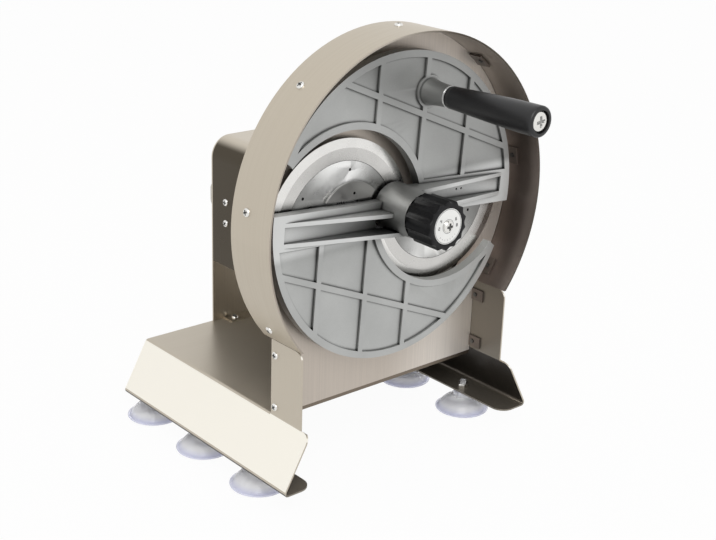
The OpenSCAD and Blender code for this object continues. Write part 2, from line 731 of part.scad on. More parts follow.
module blade(h) color(bright) at_axis() spin(spoke_tilt) difference() {
    intersection() {
        spin(h * 180) turned(arcs[h][0], arcs[h][1]) polygon([[blade_in_r + seam, carrier_y],
            [blade_in_r + seam, blade_y], [bevel_r, blade_y], [blade_r, carrier_y - edge_t],
            [blade_r, carrier_y]]);
        slab(blade_y - 1, blade_t + 2) half_disc(h, blade_r + 1);
    }
    blade_screw_places() bar(0, 0, blade_skin - blade_t, 1, screw_r + seam);
    bar(0, 0, blade_y - 1, carrier_y + 1, spring_well_r);
}

module blade_upper() blade(0);

module blade_lower() blade(1);

module blade_screws() color(bright) at_axis() spin(spoke_tilt) blade_screw_places() {
    bar(0, 0, blade_skin - blade_t, carrier_t + eps, screw_r);
    bar(0, 0, carrier_t, carrier_t + blade_screw_h, blade_screw_r);
}

module shaft_washer() color(bright) at_axis() turned()
    translate([shaft_r + eps, panel_back + bearing_len + seam]) square([bush_t + bush_flange, washer_t]);

module shaft_nut() color(bright) at_axis() translate([0, panel_back + bearing_len + seam + washer_t, 0])
    rotate([-90, 0, 0]) hex_nut(nut_ratio * shaft_r, shaft_r + eps, nut_h);

// slicing wheel

module opening() intersection() {
    union() {
        translate(open_at) circle(open_r);
        translate([-wheel_r, tip_up]) circle(tip_cut);
    }
    half_plane(spoke_edge);
}

module wheel_outline() difference() {
    circle(wheel_r);
    both_halves() opening();
}

// pockets of one crescent, bounded by the rim border, the opening's border, the spoke and the ribs
module pockets(ribs) difference() {
    intersection() {
        circle(wheel_r - rim_w);
        half_plane(pocket_edge);
    }
    translate(open_at) circle(open_r + rim_w);
    translate([-wheel_r, tip_up]) circle(tip_cut + rim_w);
    for (x = ribs) translate([x - rib_w / 2, 0]) square([rib_w, wheel_r]);
    rotate(slant) translate([-2 * wheel_r, slant_off - rib_w / 2]) square([4 * wheel_r, rib_w]);
    circle(hub_root_r + rim_w);
}

// two walls along each arm, which rise from the rim towards the hub
module spoke_walls() for (h = [0, 180], s = [-1, 1]) spin(h)
    translate([0, 0, channel_off + s * (channel_w - spoke_wall) / 2 - spoke_wall / 2])
        linear_extrude(spoke_wall) polygon([[0, face_y + eps], [0, channel_front],
            [wheel_r - 2 * rim_w, wheel_y], [wheel_r - 2 * rim_w, face_y + eps]]);

module slicing_wheel() color(cast) at_axis() spin(spoke_tilt) difference() {
    union() {
        slab(face_y, face_t) wheel_outline();
        slab(wheel_y, rib_h + eps) difference() {
            wheel_outline();
            difference() {
                pockets(upper_ribs);
                rotate(crank_angle) translate([crank_r, 0]) circle(boss_root_r + boss_pad);
            }
            rotate(180) pockets([for (x = lower_ribs) -x]);
            // floor of the channel along each arm
            both_halves() translate([hub_root_r, channel_off - channel_w / 2 + spoke_wall])
                square([wheel_r - 2 * rim_w - hub_root_r, channel_w - 2 * spoke_wall]);
        }
        spoke_walls();
        turned() polygon([[0, -hub_out], [hub_r, -hub_out], [hub_r + chamfer, wheel_y / 2],
            [hub_root_r, face_y], [hub_root_r, wheel_back], [0, wheel_back]]);
        turned(crank_r * cos(crank_angle), crank_r * sin(crank_angle)) polygon([[0, -boss_out],
            [boss_tip_r, -boss_out], [boss_tip_r + chamfer, wheel_y / 2], [boss_root_r, face_y],
            [boss_root_r, wheel_back], [0, wheel_back]]);
    }
    bar(0, 0, -hub_out - 1, wheel_back + 1, shaft_r + run);
    bar(0, 0, spring_front, wheel_back + 1, spring_well_r);
    bar(crank_r * cos(crank_angle), crank_r * sin(crank_angle), -boss_out - 1, wheel_y, spindle_r + eps);
    for (x = pin_xs) bar(x, channel_off, wheel_y, wheel_back + 1, pin_r);
}

// one unbroken coil of six-sided wire, 8 rings to a turn, between the wheel's hub and the carrier
spring_len = carrier_y - spring_front - 2 * (spring_wire + seam);
spring_rings = spring_turns * 8;
spring_pts = [for (i = [0:spring_rings], k = [0:5])
    let (a = i * 45, r = spring_r + spring_wire * cos(k * 60))
    [r * cos(a), r * sin(a), spring_len * i / spring_rings + spring_wire * sin(k * 60)]];
spring_faces = concat([[for (k = [5:-1:0]) k]], [[for (k = [0:5]) spring_rings * 6 + k]],
    [for (i = [0:spring_rings - 1], k = [0:5]) let (a = i * 6 + k, b = i * 6 + (k + 1) % 6)
        each [[a, b, b + 6], [a, b + 6, a + 6]]]);
spring_pitch_gap = spring_len / spring_turns - 2 * spring_wire;
echo(spring_gap_between_turns = spring_pitch_gap);

module adjusting_spring() color(bright) at_axis()
    translate([0, spring_front + spring_wire + seam, 0]) rotate([-90, 0, 0])
        polyhedron(points = spring_pts, faces = spring_faces);

// crank

module crank_spindle() color(bright) at_axis()
    bar(crank_x, crank_z, grip_front + cap_t, wheel_y, spindle_r);

module collar_washer() color(bright) at_axis() turned(crank_x, crank_z)
    translate([spindle_r + eps, -boss_out - collar_t]) square([grip_r - spindle_r, collar_t]);

module grip_end_screw() color(bright) at_axis() turned(crank_x, crank_z) polygon([
    [0, grip_front + seam], [cap_r - chamfer, grip_front + seam], [cap_r, grip_front + seam + chamfer],
    [cap_r, grip_front + cap_t], [0, grip_front + cap_t]]);

module crank_grip() color(black) at_axis() turned(crank_x, crank_z) polygon([[spindle_r + run, grip_back],
    [grip_r - grip_edge, grip_back], [grip_r, grip_back - grip_edge],
    [grip_r + grip_swell, grip_back - grip_len / 5],
    [grip_end_r - grip_swell, grip_back - grip_len * 3 / 4], [grip_end_r, grip_front + 2 * grip_edge],
    [grip_end_r - grip_swell, grip_front + grip_edge / 2], [grip_end_r - grip_edge, grip_front],
    [cap_r + seam, grip_front], [cap_r + seam, grip_front + cap_t + seam],
    [spindle_r + run, grip_front + cap_t + seam]]);

// knob

module adjusting_knob() color(black) at_axis() difference() {
    slab(knob_front, knob_len) difference() {
        circle(knob_r);
        for (i = [0:knob_lobes - 1]) rotate(i * 360 / knob_lobes)
            translate([knob_r + 2 * hollow_d, 0]) circle(3 * hollow_d);
    }
    bar(0, 0, knob_front - 1, knob_front + dial_t, dial_r + seam);
    bar(0, 0, knob_front + 3 * dial_t, knob_back + 1, stud_r + run);
}

module dial_plate() color(bright) at_axis() difference() {
    bar(0, 0, knob_front, knob_front + dial_t, dial_r);
    bar(0, 0, knob_front - 1, knob_front + dial_t + 1, screw_r + seam);
}

module dial_screw() color(bright) at_axis() translate([0, knob_front, 0]) rotate([90, 0, 0])
    screw_head(dial_screw_r, dial_screw_h);

drum_back_panel();
drum_ring();
base_sheet();
hopper_shell();
feed_trough();
rear_panel();
bearing_housing();
front_bush();
rear_bush();
bearing_bolts();
suction_cups_left();
suction_cups_right();
cup_nuts();
ring_screws();
cheek_screws();
hopper_screws();
foot_screws();
rod_bushes();
main_shaft();
blade_carrier();
blade_upper();
blade_lower();
blade_screws();
shaft_nut();
shaft_washer();
slicing_wheel();
adjusting_spring();
crank_spindle();
collar_washer();
grip_end_screw();
adjusting_knob();
dial_plate();
dial_screw();
crank_grip();
pusher_block();
pusher_rods();
pusher_bar();
pusher_nuts();
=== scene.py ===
"""Looks of the hand-crank vegetable slicer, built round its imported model. Metres, +Z up, the crank faces -Y."""

import math

import bmesh
import bpy
import numpy as np
from mathutils import Matrix, Vector


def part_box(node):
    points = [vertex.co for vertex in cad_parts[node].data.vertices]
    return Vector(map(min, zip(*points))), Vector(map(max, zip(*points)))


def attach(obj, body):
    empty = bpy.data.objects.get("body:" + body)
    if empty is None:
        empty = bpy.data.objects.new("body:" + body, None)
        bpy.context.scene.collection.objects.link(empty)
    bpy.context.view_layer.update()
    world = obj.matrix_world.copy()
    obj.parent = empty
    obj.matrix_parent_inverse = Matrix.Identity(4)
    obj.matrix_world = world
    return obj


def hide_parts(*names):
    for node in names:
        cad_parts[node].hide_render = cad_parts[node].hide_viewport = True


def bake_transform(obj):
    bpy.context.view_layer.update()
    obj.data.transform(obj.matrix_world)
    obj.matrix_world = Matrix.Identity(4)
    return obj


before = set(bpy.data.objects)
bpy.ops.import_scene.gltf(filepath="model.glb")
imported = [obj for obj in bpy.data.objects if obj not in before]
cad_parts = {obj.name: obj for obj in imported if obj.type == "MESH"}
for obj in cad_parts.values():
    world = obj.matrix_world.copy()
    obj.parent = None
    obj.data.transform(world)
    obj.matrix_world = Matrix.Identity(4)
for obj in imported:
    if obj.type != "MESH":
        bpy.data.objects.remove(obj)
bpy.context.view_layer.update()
MM = 0.001

# Camera, fitted to the two rims of the drum, the dial and the grip's end in the photograph's frame
PHOTO_WIDTH = 716
CAMERA_AZIMUTH = math.radians(41.304)
CAMERA_ELEVATION = math.radians(20.46)
CAMERA_ROLL = math.radians(1.98)
CAMERA_PLACE = (-0.7423, -0.8551, 0.5854)
FOCAL_PIXELS = 1328.4
SENSOR_MM = 36.0

# Finishes, and painted light and shade, as linear colours
STEEL_TAN = (0.55, 0.495, 0.41)
# pale painted highlight, a lamp's reflection, on the slanting base flaps
FLAP_PAINTED_HIGHLIGHT = (0.99, 0.955, 0.865)
# painted dark reflection on the hopper's wall
HOPPER_PAINTED_REFLECTION = (0.07, 0.058, 0.042)
# painted shade on the base's undersides, its lips near the floor and the right cheek's inner face
BASE_PAINTED_SHADE = (0.05, 0.043, 0.036)
STEEL_ROSE = (0.55, 0.49, 0.43)
# painted light that makes the panel paler towards its right side
PANEL_PAINTED_LIGHT = (0.86, 0.8, 0.735)
# painted shade inside the drum ring, with painted light near its front and at its top
RING_INSIDE_PAINTED_SHADE = (0.25, 0.21, 0.19)
RING_INSIDE_DEEP_SHADE = (0.105, 0.085, 0.075)
RING_INSIDE_FRONT_LIGHT = (0.3, 0.255, 0.23)
RING_INSIDE_TOP_LIGHT = (0.5, 0.455, 0.41)
# painted shade on the right half of the ring's front rim
RIM_PAINTED_SHADE = (0.09, 0.075, 0.06)
# painted shade on the panel's flanges and tabs
TAB_PAINTED_SHADE = (0.16, 0.135, 0.118)
EDGE_BROWN = (0.2, 0.165, 0.13)
CAST_GREY = (0.48, 0.485, 0.475)
# partly polish and partly painted highlight on the wheel's arms
CAST_ARM_POLISH_AND_HIGHLIGHT = (0.78, 0.785, 0.775)
# painted shade on the wheel's hub and its upper right
CAST_PAINTED_SHADE = (0.25, 0.25, 0.243)
BRIGHT_STEEL = (0.78, 0.77, 0.74)
# dark and light of the carrier's painted sheen
CARRIER_SHEEN_DARK = (0.26, 0.26, 0.252)
CARRIER_PAINTED_SHEEN = (0.9, 0.9, 0.885)
CARRIER_BOSS_GREY = (0.33, 0.325, 0.315)
BLADE_FLAT = (0.62, 0.61, 0.59)
# tone of the ground bevel, with a painted highlight
BLADE_BEVEL_GRIND_AND_HIGHLIGHT = (0.8, 0.79, 0.765)
BLADE_SHADE = (0.03, 0.03, 0.03)
# painted shade in screw recesses and on screw shanks
RECESS_PAINTED_SHADE = (0.13, 0.13, 0.125)
CAP_RECESS_PAINTED_SHADE = (0.36, 0.36, 0.35)
COLLAR_CHROME = (0.6, 0.6, 0.59)
SATIN_BLACK = (0.008, 0.008, 0.009)
BRONZE = (0.5, 0.34, 0.15)
PALE_PLASTIC = (0.72, 0.7, 0.65)
VINYL = (0.95, 0.95, 0.965)
VINYL_RIM = (0.66, 0.68, 0.9)
MARK_GREY = (0.05, 0.05, 0.055)
DIAL_SILVER = (0.86, 0.86, 0.84)

# Sizes of the part that its boxes do not give
SHEET = 1.5 * MM
PANEL_TAB = 14 * MM
CARRIER_BOSS = (-46 * MM, -9 * MM)

# Driving places and sizes, read from the frame
WHEEL_LOW, WHEEL_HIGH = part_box("slicing_wheel")
RING_LOW, RING_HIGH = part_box("drum_ring")
PANEL_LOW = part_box("drum_back_panel")[0]
BASE_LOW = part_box("base_sheet")[0]
CUP_LOW, CUP_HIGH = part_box("suction_cups_left")
KNOB_LOW, KNOB_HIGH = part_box("adjusting_knob")
DIAL_LOW, DIAL_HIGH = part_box("dial_plate")
GRIP_LOW, GRIP_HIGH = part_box("crank_grip")
CAP_LOW, CAP_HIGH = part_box("grip_end_screw")
AXIS_Z = (WHEEL_LOW.z + WHEEL_HIGH.z) / 2
DRUM_R = RING_HIGH.x
TABS_FRONT = PANEL_LOW.y
BLADE_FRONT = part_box("blade_upper")[0].y
HOPPER_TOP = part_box("hopper_shell")[1].z
LIP_TOP = BASE_LOW.z + SHEET
CUP_HEIGHT = BASE_LOW.z
CUP_R = (CUP_HIGH.x - CUP_LOW.x) / 2
KNOB_R = (KNOB_HIGH.x - KNOB_LOW.x) / 2
DIAL_R = (DIAL_HIGH.x - DIAL_LOW.x) / 2
GRIP_X = (GRIP_LOW.x + GRIP_HIGH.x) / 2
GRIP_Z = (GRIP_LOW.z + GRIP_HIGH.z) / 2
GRIP_END_R = (GRIP_HIGH.x - GRIP_LOW.x) / 2
CAP_R = (CAP_HIGH.x - CAP_LOW.x) / 2

# Sizes of what the scene adds, in place of the plain solids or on them
MERGE_DISTANCE = 1e-6
CUP_COUNT = 3
HEAD_H = 2.0 * MM
DIAL_HEAD_H = 2.6 * MM
EDGE_REACH, EDGE_GAP, EDGE_BACK, EDGE_THICK, EDGE_DROP = 119 * MM, 0.5 * MM, 0.3 * MM, 1.1 * MM, 3.2 * MM
KNOB_LOBES, KNOB_HOLLOW, KNOB_ROUND = 14, 2.0 * MM, 1.6 * MM
KNOB_SIDES = KNOB_LOBES * 16
DIAL_SEAT = 1.0 * MM
FIT_GAP = 0.3 * MM
GRIP_BORE, GRIP_RECESS = 4.6 * MM, 3.3 * MM
COLLAR_BORE = 4.2 * MM
DIAL_PROUD = 0.06 * MM
RING_LINE, FIGURE_LINE, TICK_LINE = 0.3 * MM, 0.5 * MM, 0.25 * MM
FIGURE_W, FIGURE_H = 1.3 * MM, 1.1 * MM

# Patterns: noise scales along X, Y and Z, and the wave of the tone inside the ring
AROUND = (10.0, 900.0, 10.0)
UPRIGHT = (900.0, 900.0, 10.0)
CLOUDS = (12.0, 12.0, 12.0)
SMEARS = (60, 60, 60)
NOISE_LOW, NOISE_HIGH = 0.3, 0.7
STROKE_DEPTH, STROKE_STRENGTH = 0.00004, 0.25
RING_WAVE, RING_WAVE_START = 0.11, 0.014
# rate and start angle of the carrier's painted sheen
RAY_RATE, RAY_START = 3.2, 1.75

# Where finishes and painted light and shade change, as (from, to) places, and how much of the change shows
# where the ring's inside takes painted light near the front and at the top
RING_FRONT, RING_FRONT_SHARE = (16 * MM, 4 * MM), 0.6
RING_TOP = (20 * MM, DRUM_R)
# where the front rim's painted shade lies
RIM_RIGHT = (-50 * MM, 50 * MM)
# where the panel's painted light rises towards the right
PANEL_RIGHT = (0.0, 100 * MM)
# where the hopper's painted highlight along its top edge rises
HOPPER_EDGE = (HOPPER_TOP - 8 * MM, HOPPER_TOP - 1 * MM)
# where the tabs' painted shade starts
TABS_BACK = (TABS_FRONT + PANEL_TAB - 1 * MM, TABS_FRONT + PANEL_TAB - 2 * MM)
BOSS_FRONT = (BLADE_FRONT - 1 * MM, BLADE_FRONT - 2 * MM)
SHADE_BELOW, SHADE_ABOVE, SHADE_LEFT = (-28 * MM, -24 * MM), (-6 * MM, -10 * MM), (2 * MM, -4 * MM)
# where the painted shade of the base's lips and right cheek lies, and how strong it is
LIP_EDGE, LIP_SHARE = (LIP_TOP + 2 * MM, LIP_TOP + 0.5 * MM), 0.62
CHEEK_RIGHT, CHEEK_SHARE = (0.0, 20 * MM), 0.7
# where the arms' polish and painted highlight lie
ARM_BAND, ARM_START, ARM_SHARE = (26 * MM, 18 * MM), (24 * MM, 60 * MM), 0.7
# where the wheel's painted shade lies high on the right and on the hub
CORNER_SHADE_SPAN, CORNER_SHADE_SHARE = (30 * MM, 110 * MM), 0.5
HUB_EDGE, HUB_SHARE = (32 * MM, 22 * MM), 0.4
ARM_NEAR, ARM_REACH, ARM_DEPTH = (36 * MM, 24 * MM), 18 * MM, 0.9
CORNER_REACH, CARRIER_REACH, BLADE_REACH = 2.2 * MM, 3 * MM, 10 * MM

# Light
MIDDLE = (0.0, 0.0, 0.2)
KEY_PLACE, KEY_SIZE, KEY_POWER = (-1.0, -1.4, 1.8), (1.2, 1.2), 20.0
ROOM_TONE, ROOM_LIGHT = (1.0, 0.99, 0.97, 1.0), 0.55
WHITE = (1.0, 1.0, 1.0, 1.0)
FLOOR_HALF, FLOOR_PALE, FLOOR_WHITE = 6.0, (0.92, 0.92, 0.92, 1.0), 0.96


# Mesh helpers


def grid_quads(rows, cols, close_cols=False):
    """Corner numbers of the quads of a rows by cols grid of points, closed round along cols if asked."""
    r, c = np.meshgrid(np.arange(rows - 1), np.arange(cols if close_cols else cols - 1), indexing="ij")
    a, n = r * cols + c, (c + 1) % cols
    return np.stack([a, r * cols + n, (r + 1) * cols + n, a + cols], -1).reshape(-1, 4)


def revolve(profile, sides):
    """Surface of revolution about Z: the point (radius, height) of the profile at parameter s, turned by t."""
    profile = np.asarray(profile, float)
    t = np.linspace(0, 2 * np.pi, sides, endpoint=False)
    r, z = profile[:, :1], profile[:, 1:]
    points = np.stack([r * np.cos(t), r * np.sin(t), z + 0 * t], -1).reshape(-1, 3)
    return points, grid_quads(len(profile), sides, close_cols=True)


def rounded_profile(corners, radius, steps=5):
    """Open outline whose inner corners become arcs: each corner b is replaced by a quadratic blend that leaves
    and meets its two sides at most radius away, (1-s)^2 p + 2s(1-s) b + s^2 q for s from 0 to 1."""
    corners = np.asarray(corners, float)
    s = np.linspace(0, 1, steps)[:, None]
    out = [corners[:1]]
    for a, b, c in zip(corners[:-2], corners[1:-1], corners[2:]):
        cut = min(radius, np.linalg.norm(b - a) / 2, np.linalg.norm(c - b) / 2)
        p = b + (a - b) / np.linalg.norm(a - b) * cut
        q = b + (c - b) / np.linalg.norm(c - b) * cut
        out.append((1 - s) ** 2 * p + 2 * s * (1 - s) * b + s ** 2 * q)
    return np.concatenate(out + [corners[-1:]])


def facing(direction, place):
    """Matrix that turns +Z to the direction and moves the origin to the place."""
    turn = Vector(direction).to_track_quat("Z", "Y").to_matrix().to_4x4()
    return Matrix.Translation(Vector(place)) @ turn


def placed(points, matrix):
    """Points moved by a 4 by 4 matrix."""
    m = np.array(matrix)
    return points @ m[:3, :3].T + m[:3, 3]


def joined(parts):
    """One list of points and one of faces from several (points, faces) pairs."""
    starts = np.cumsum([0] + [len(p) for p, _ in parts[:-1]])
    return np.concatenate([p for p, _ in parts]), np.concatenate([f + s for (_, f), s in zip(parts, starts)])


def make_piece(name, points, faces, materials, body, slot, nodes=(), smooth_angle=40.0, shades=None):
    """Mesh piece: doubles are merged and normals turned outwards. The slot is not used. The shades give each face
    the number of its material."""
    mesh = bpy.data.meshes.new(name)
    mesh.from_pydata(points.tolist(), [], faces.tolist())
    for material in materials:
        mesh.materials.append(material)
    if shades is not None:
        mesh.polygons.foreach_set("material_index", np.asarray(shades, np.int32))
    work = bmesh.new()
    work.from_mesh(mesh)
    bmesh.ops.remove_doubles(work, verts=work.verts, dist=MERGE_DISTANCE)
    bmesh.ops.recalc_face_normals(work, faces=work.faces)
    work.to_mesh(mesh)
    work.free()
    mesh.polygons.foreach_set("use_smooth", np.ones(len(mesh.polygons), bool))
    mesh.set_sharp_from_angle(angle=math.radians(smooth_angle))
    piece = bpy.data.objects.new(name, mesh)
    bpy.context.scene.collection.objects.link(piece)
    if body:
        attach(piece, body)
    if nodes:
        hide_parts(*nodes)
    return piece


def node_solids(node):
    """Point lists of the separate solids of a node: corners that lie together are one, and each face joins its
    corners into a solid."""
    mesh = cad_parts[node].data
    work = bmesh.new()
    work.from_mesh(mesh)
    bmesh.ops.remove_doubles(work, verts=work.verts, dist=MERGE_DISTANCE)
    solids, seen = [], set()
    for start in work.verts:
        if start in seen:
            continue
        group, queue = [], [start]
        seen.add(start)
        while queue:
            vert = queue.pop()
            group.append(tuple(vert.co))
            for edge in vert.link_edges:
                other = edge.other_vert(vert)
                if other not in seen:
                    seen.add(other)
                    queue.append(other)
        solids.append(np.array(group))
    work.free()
    return solids


def soften(name, node, material, body, width, segments=2):
    """Copy of a node's mesh, merged and with its flat facets joined, whose edges a bevel rounds by the width."""
    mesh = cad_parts[node].data.copy()
    work = bmesh.new()
    work.from_mesh(mesh)
    bmesh.ops.remove_doubles(work, verts=work.verts, dist=MERGE_DISTANCE)
    bmesh.ops.dissolve_limit(work, angle_limit=math.radians(0.5), verts=work.verts, edges=work.edges)
    bmesh.ops.recalc_face_normals(work, faces=work.faces)
    work.to_mesh(mesh)
    work.free()
    mesh.polygons.foreach_set("use_smooth", np.ones(len(mesh.polygons), bool))
    mesh.set_sharp_from_angle(angle=math.radians(30))
    mesh.materials.clear()
    mesh.materials.append(material)
    piece = bpy.data.objects.new(name, mesh)
    bpy.context.scene.collection.objects.link(piece)
    bevel = piece.modifiers.new("edges", "BEVEL")
    bevel.width = width
    bevel.segments = segments
    bevel.limit_method = "ANGLE"
    bevel.angle_limit = math.radians(35)
    bevel.harden_normals = True
    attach(piece, body)
    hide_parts(node)


# Material helpers


def new_finish(name, metallic, roughness):
    """Empty procedural material: its node tree and its Principled shader."""
    material = bpy.data.materials.new(name)
    material.use_nodes = True
    tree = material.node_tree
    shader = tree.nodes["Principled BSDF"]
    shader.inputs["Metallic"].default_value = metallic
    shader.inputs["Roughness"].default_value = roughness
    return material, tree, shader


def grain(tree, stretch, detail=4.0):
    """Noise on Object coordinates that are scaled by stretch along X, Y and Z: its value socket."""
    coords = tree.nodes.new("ShaderNodeTexCoord")
    mapping = tree.nodes.new("ShaderNodeMapping")
    mapping.inputs["Scale"].default_value = stretch
    noise = tree.nodes.new("ShaderNodeTexNoise")
    noise.inputs["Scale"].default_value = 1.0
    noise.inputs["Detail"].default_value = detail
    tree.links.new(coords.outputs["Object"], mapping.inputs["Vector"])
    tree.links.new(mapping.outputs["Vector"], noise.inputs["Vector"])
    return noise.outputs["Fac"]


def tint(tree, shader, value, colour, spread):
    """Base colour that runs from darker to lighter than the colour by the spread, as the value goes up."""
    ramp = tree.nodes.new("ShaderNodeValToRGB")
    for stop, place, gain in zip(ramp.color_ramp.elements, (NOISE_LOW, NOISE_HIGH), (1 - spread, 1 + spread)):
        stop.position = place
        stop.color = (*[min(c * gain, 1.0) for c in colour], 1.0)
    tree.links.new(value, ramp.inputs["Fac"])
    tree.links.new(ramp.outputs["Color"], shader.inputs["Base Color"])


def vary_roughness(tree, shader, value, low, high):
    """Roughness that runs from low to high as the value does."""
    span = tree.nodes.new("ShaderNodeMapRange")
    span.inputs["From Min"].default_value = NOISE_LOW
    span.inputs["From Max"].default_value = NOISE_HIGH
    span.inputs["To Min"].default_value = low
    span.inputs["To Max"].default_value = high
    tree.links.new(value, span.inputs["Value"])
    tree.links.new(span.outputs["Result"], shader.inputs["Roughness"])


def relief(tree, shader, value, depth, strength):
    """Bump from the value, depth metres deep."""
    bump = tree.nodes.new("ShaderNodeBump")
    bump.inputs["Distance"].default_value = depth
    bump.inputs["Strength"].default_value = strength
    tree.links.new(value, bump.inputs["Height"])
    tree.links.new(bump.outputs["Normal"], shader.inputs["Normal"])


def object_axes(tree, output):
    """X, Y and Z sockets of one of the Texture Coordinate outputs."""
    coords = tree.nodes.new("ShaderNodeTexCoord")
    split = tree.nodes.new("ShaderNodeSeparateXYZ")
    tree.links.new(coords.outputs[output], split.inputs["Vector"])
    return split.outputs


def math_node(tree, operation, first, second=0.0):
    """Output of one Math node, whose inputs are sockets or numbers."""
    node = tree.nodes.new("ShaderNodeMath")
    node.operation = operation
    for socket, value in zip(node.inputs, (first, second)):
        if isinstance(value, float):
            socket.default_value = value
        else:
            tree.links.new(value, socket)
    return node.outputs[0]


def stepped(tree, value, low, high):
    """Smooth step of the value from 0 at low to 1 at high."""
    span = tree.nodes.new("ShaderNodeMapRange")
    span.interpolation_type = "SMOOTHSTEP"
    span.inputs["From Min"].default_value, span.inputs["From Max"].default_value = low, high
    tree.links.new(value, span.inputs["Value"])
    return span.outputs["Result"]


def blend(tree, share, first, second):
    """Mix of two colours, each a socket or three numbers, by a share socket."""
    mix = tree.nodes.new("ShaderNodeMix")
    mix.data_type = "RGBA"
    tree.links.new(share, mix.inputs["Factor"])
    for name, colour in (("A", first), ("B", second)):
        if isinstance(colour, tuple):
            mix.inputs[name].default_value = (*colour, 1.0)
        else:
            tree.links.new(colour, mix.inputs[name])
    return mix.outputs["Result"]


def scaled(tree, colour, level):
    """Colour socket times a level socket."""
    product = tree.nodes.new("ShaderNodeVectorMath")
    product.operation = "SCALE"
    tree.links.new(colour, product.inputs[0])
    tree.links.new(level, product.inputs["Scale"])
    return product.outputs[0]


def rising_tone(tree, shader, strokes, low, high, places, axis):
    """Base colour that goes from low to high between two places on an axis, with faint strokes over it."""
    tone = blend(tree, stepped(tree, object_axes(tree, "Object")[axis], *places), low, high)
    gain = tree.nodes.new("ShaderNodeMapRange")
    gain.inputs["To Min"].default_value, gain.inputs["To Max"].default_value = 0.88, 1.12
    tree.links.new(strokes, gain.inputs["Value"])
    tree.links.new(scaled(tree, tone, gain.outputs["Result"]), shader.inputs["Base Color"])


def brushed_steel(name, colour, stretch, rough=(0.3, 0.42), top=None, places=(0.0, 1.0), axis="Z",
                  metallic=1.0):
    """Rolled sheet steel with long fine brush strokes. Given a top colour, the tone changes to it between two
    places on an axis."""
    material, tree, shader = new_finish(name, metallic, rough[0])
    strokes = grain(tree, stretch)
    if top:
        rising_tone(tree, shader, strokes, colour, top, places, axis)
    else:
        tint(tree, shader, strokes, colour, 0.06)
    vary_roughness(tree, shader, strokes, *rough)
    relief(tree, shader, strokes, STROKE_DEPTH, STROKE_STRENGTH)
    return material


def above_axis(tree, place):
    """Height above the crank axis, from the sockets of a place."""
    return math_node(tree, "SUBTRACT", place["Z"], float(AXIS_Z))


def rolled_ring():
    """Sheet ring with strokes along its bend, tan outside and dark brown inside with painted shade. Where the
    normal points to the crank axis, x nx + (z - axis) nz is below zero and the sheet shows its inside, which
    painted light makes paler at the top and near the front, with a slow wave of its tone by cos(2 pi (z - axis -
    start) / length).
    The front rim, whose normal is -Y, is dark on its right half with painted shade."""
    material, tree, shader = new_finish("ring_steel", 1.0, 0.3)
    strokes = grain(tree, AROUND)
    place, normal = object_axes(tree, "Object"), object_axes(tree, "Normal")
    height = above_axis(tree, place)
    outwards = math_node(tree, "ADD", math_node(tree, "MULTIPLY", place["X"], normal["X"]),
                         math_node(tree, "MULTIPLY", height, normal["Z"]))
    beyond = math_node(tree, "SUBTRACT", height, RING_WAVE_START)
    turn = math_node(tree, "MULTIPLY", beyond, math.tau / RING_WAVE)
    wave = stepped(tree, math_node(tree, "COSINE", turn), -1.0, 1.0)
    # painted shade inside the ring, made paler by painted light near the front and at the top
    inside = blend(tree, wave, RING_INSIDE_DEEP_SHADE, RING_INSIDE_PAINTED_SHADE)
    near_front = stepped(tree, place["Y"], *(RING_LOW.y + depth for depth in RING_FRONT))
    inside = blend(tree, math_node(tree, "MULTIPLY", near_front, RING_FRONT_SHARE), inside, RING_INSIDE_FRONT_LIGHT)
    inside = blend(tree, stepped(tree, height, *RING_TOP), inside, RING_INSIDE_TOP_LIGHT)
    tone = blend(tree, stepped(tree, outwards, -0.02, 0.02), inside, STEEL_TAN)
    # painted shade on the right half of the front rim
    rim = math_node(tree, "MULTIPLY", stepped(tree, normal["Y"], -0.5, -0.8),
                    stepped(tree, place["X"], *RIM_RIGHT))
    tree.links.new(blend(tree, rim, tone, RIM_PAINTED_SHADE), shader.inputs["Base Color"])
    vary_roughness(tree, shader, strokes, 0.36, 0.5)
    relief(tree, shader, strokes, STROKE_DEPTH, STROKE_STRENGTH)
    return material


def panel_sheet():
    """Panel with upright strokes, paler towards its right side with painted light. Its flanges, whose normals turn
    away from the front, and its tabs, which stand in front of it, are dark with painted shade."""
    # painted light: the panel turns paler towards its right side
    material = brushed_steel("panel_steel", STEEL_ROSE, UPRIGHT, (0.36, 0.46), PANEL_PAINTED_LIGHT, PANEL_RIGHT, "X",
                             0.7)
    tree = material.node_tree
    colour = tree.nodes["Principled BSDF"].inputs["Base Color"]
    # painted shade on the flanges, which turn away from the front, and on the tabs in front of the panel
    turned_away = stepped(tree, math_node(tree, "ABSOLUTE", object_axes(tree, "Normal")["Y"]), 0.8, 0.5)
    in_front = stepped(tree, object_axes(tree, "Object")["Y"], *TABS_BACK)
    dark = math_node(tree, "MAXIMUM", turned_away, in_front)
    tree.links.new(blend(tree, dark, colour.links[0].from_socket, TAB_PAINTED_SHADE), colour)
    return material


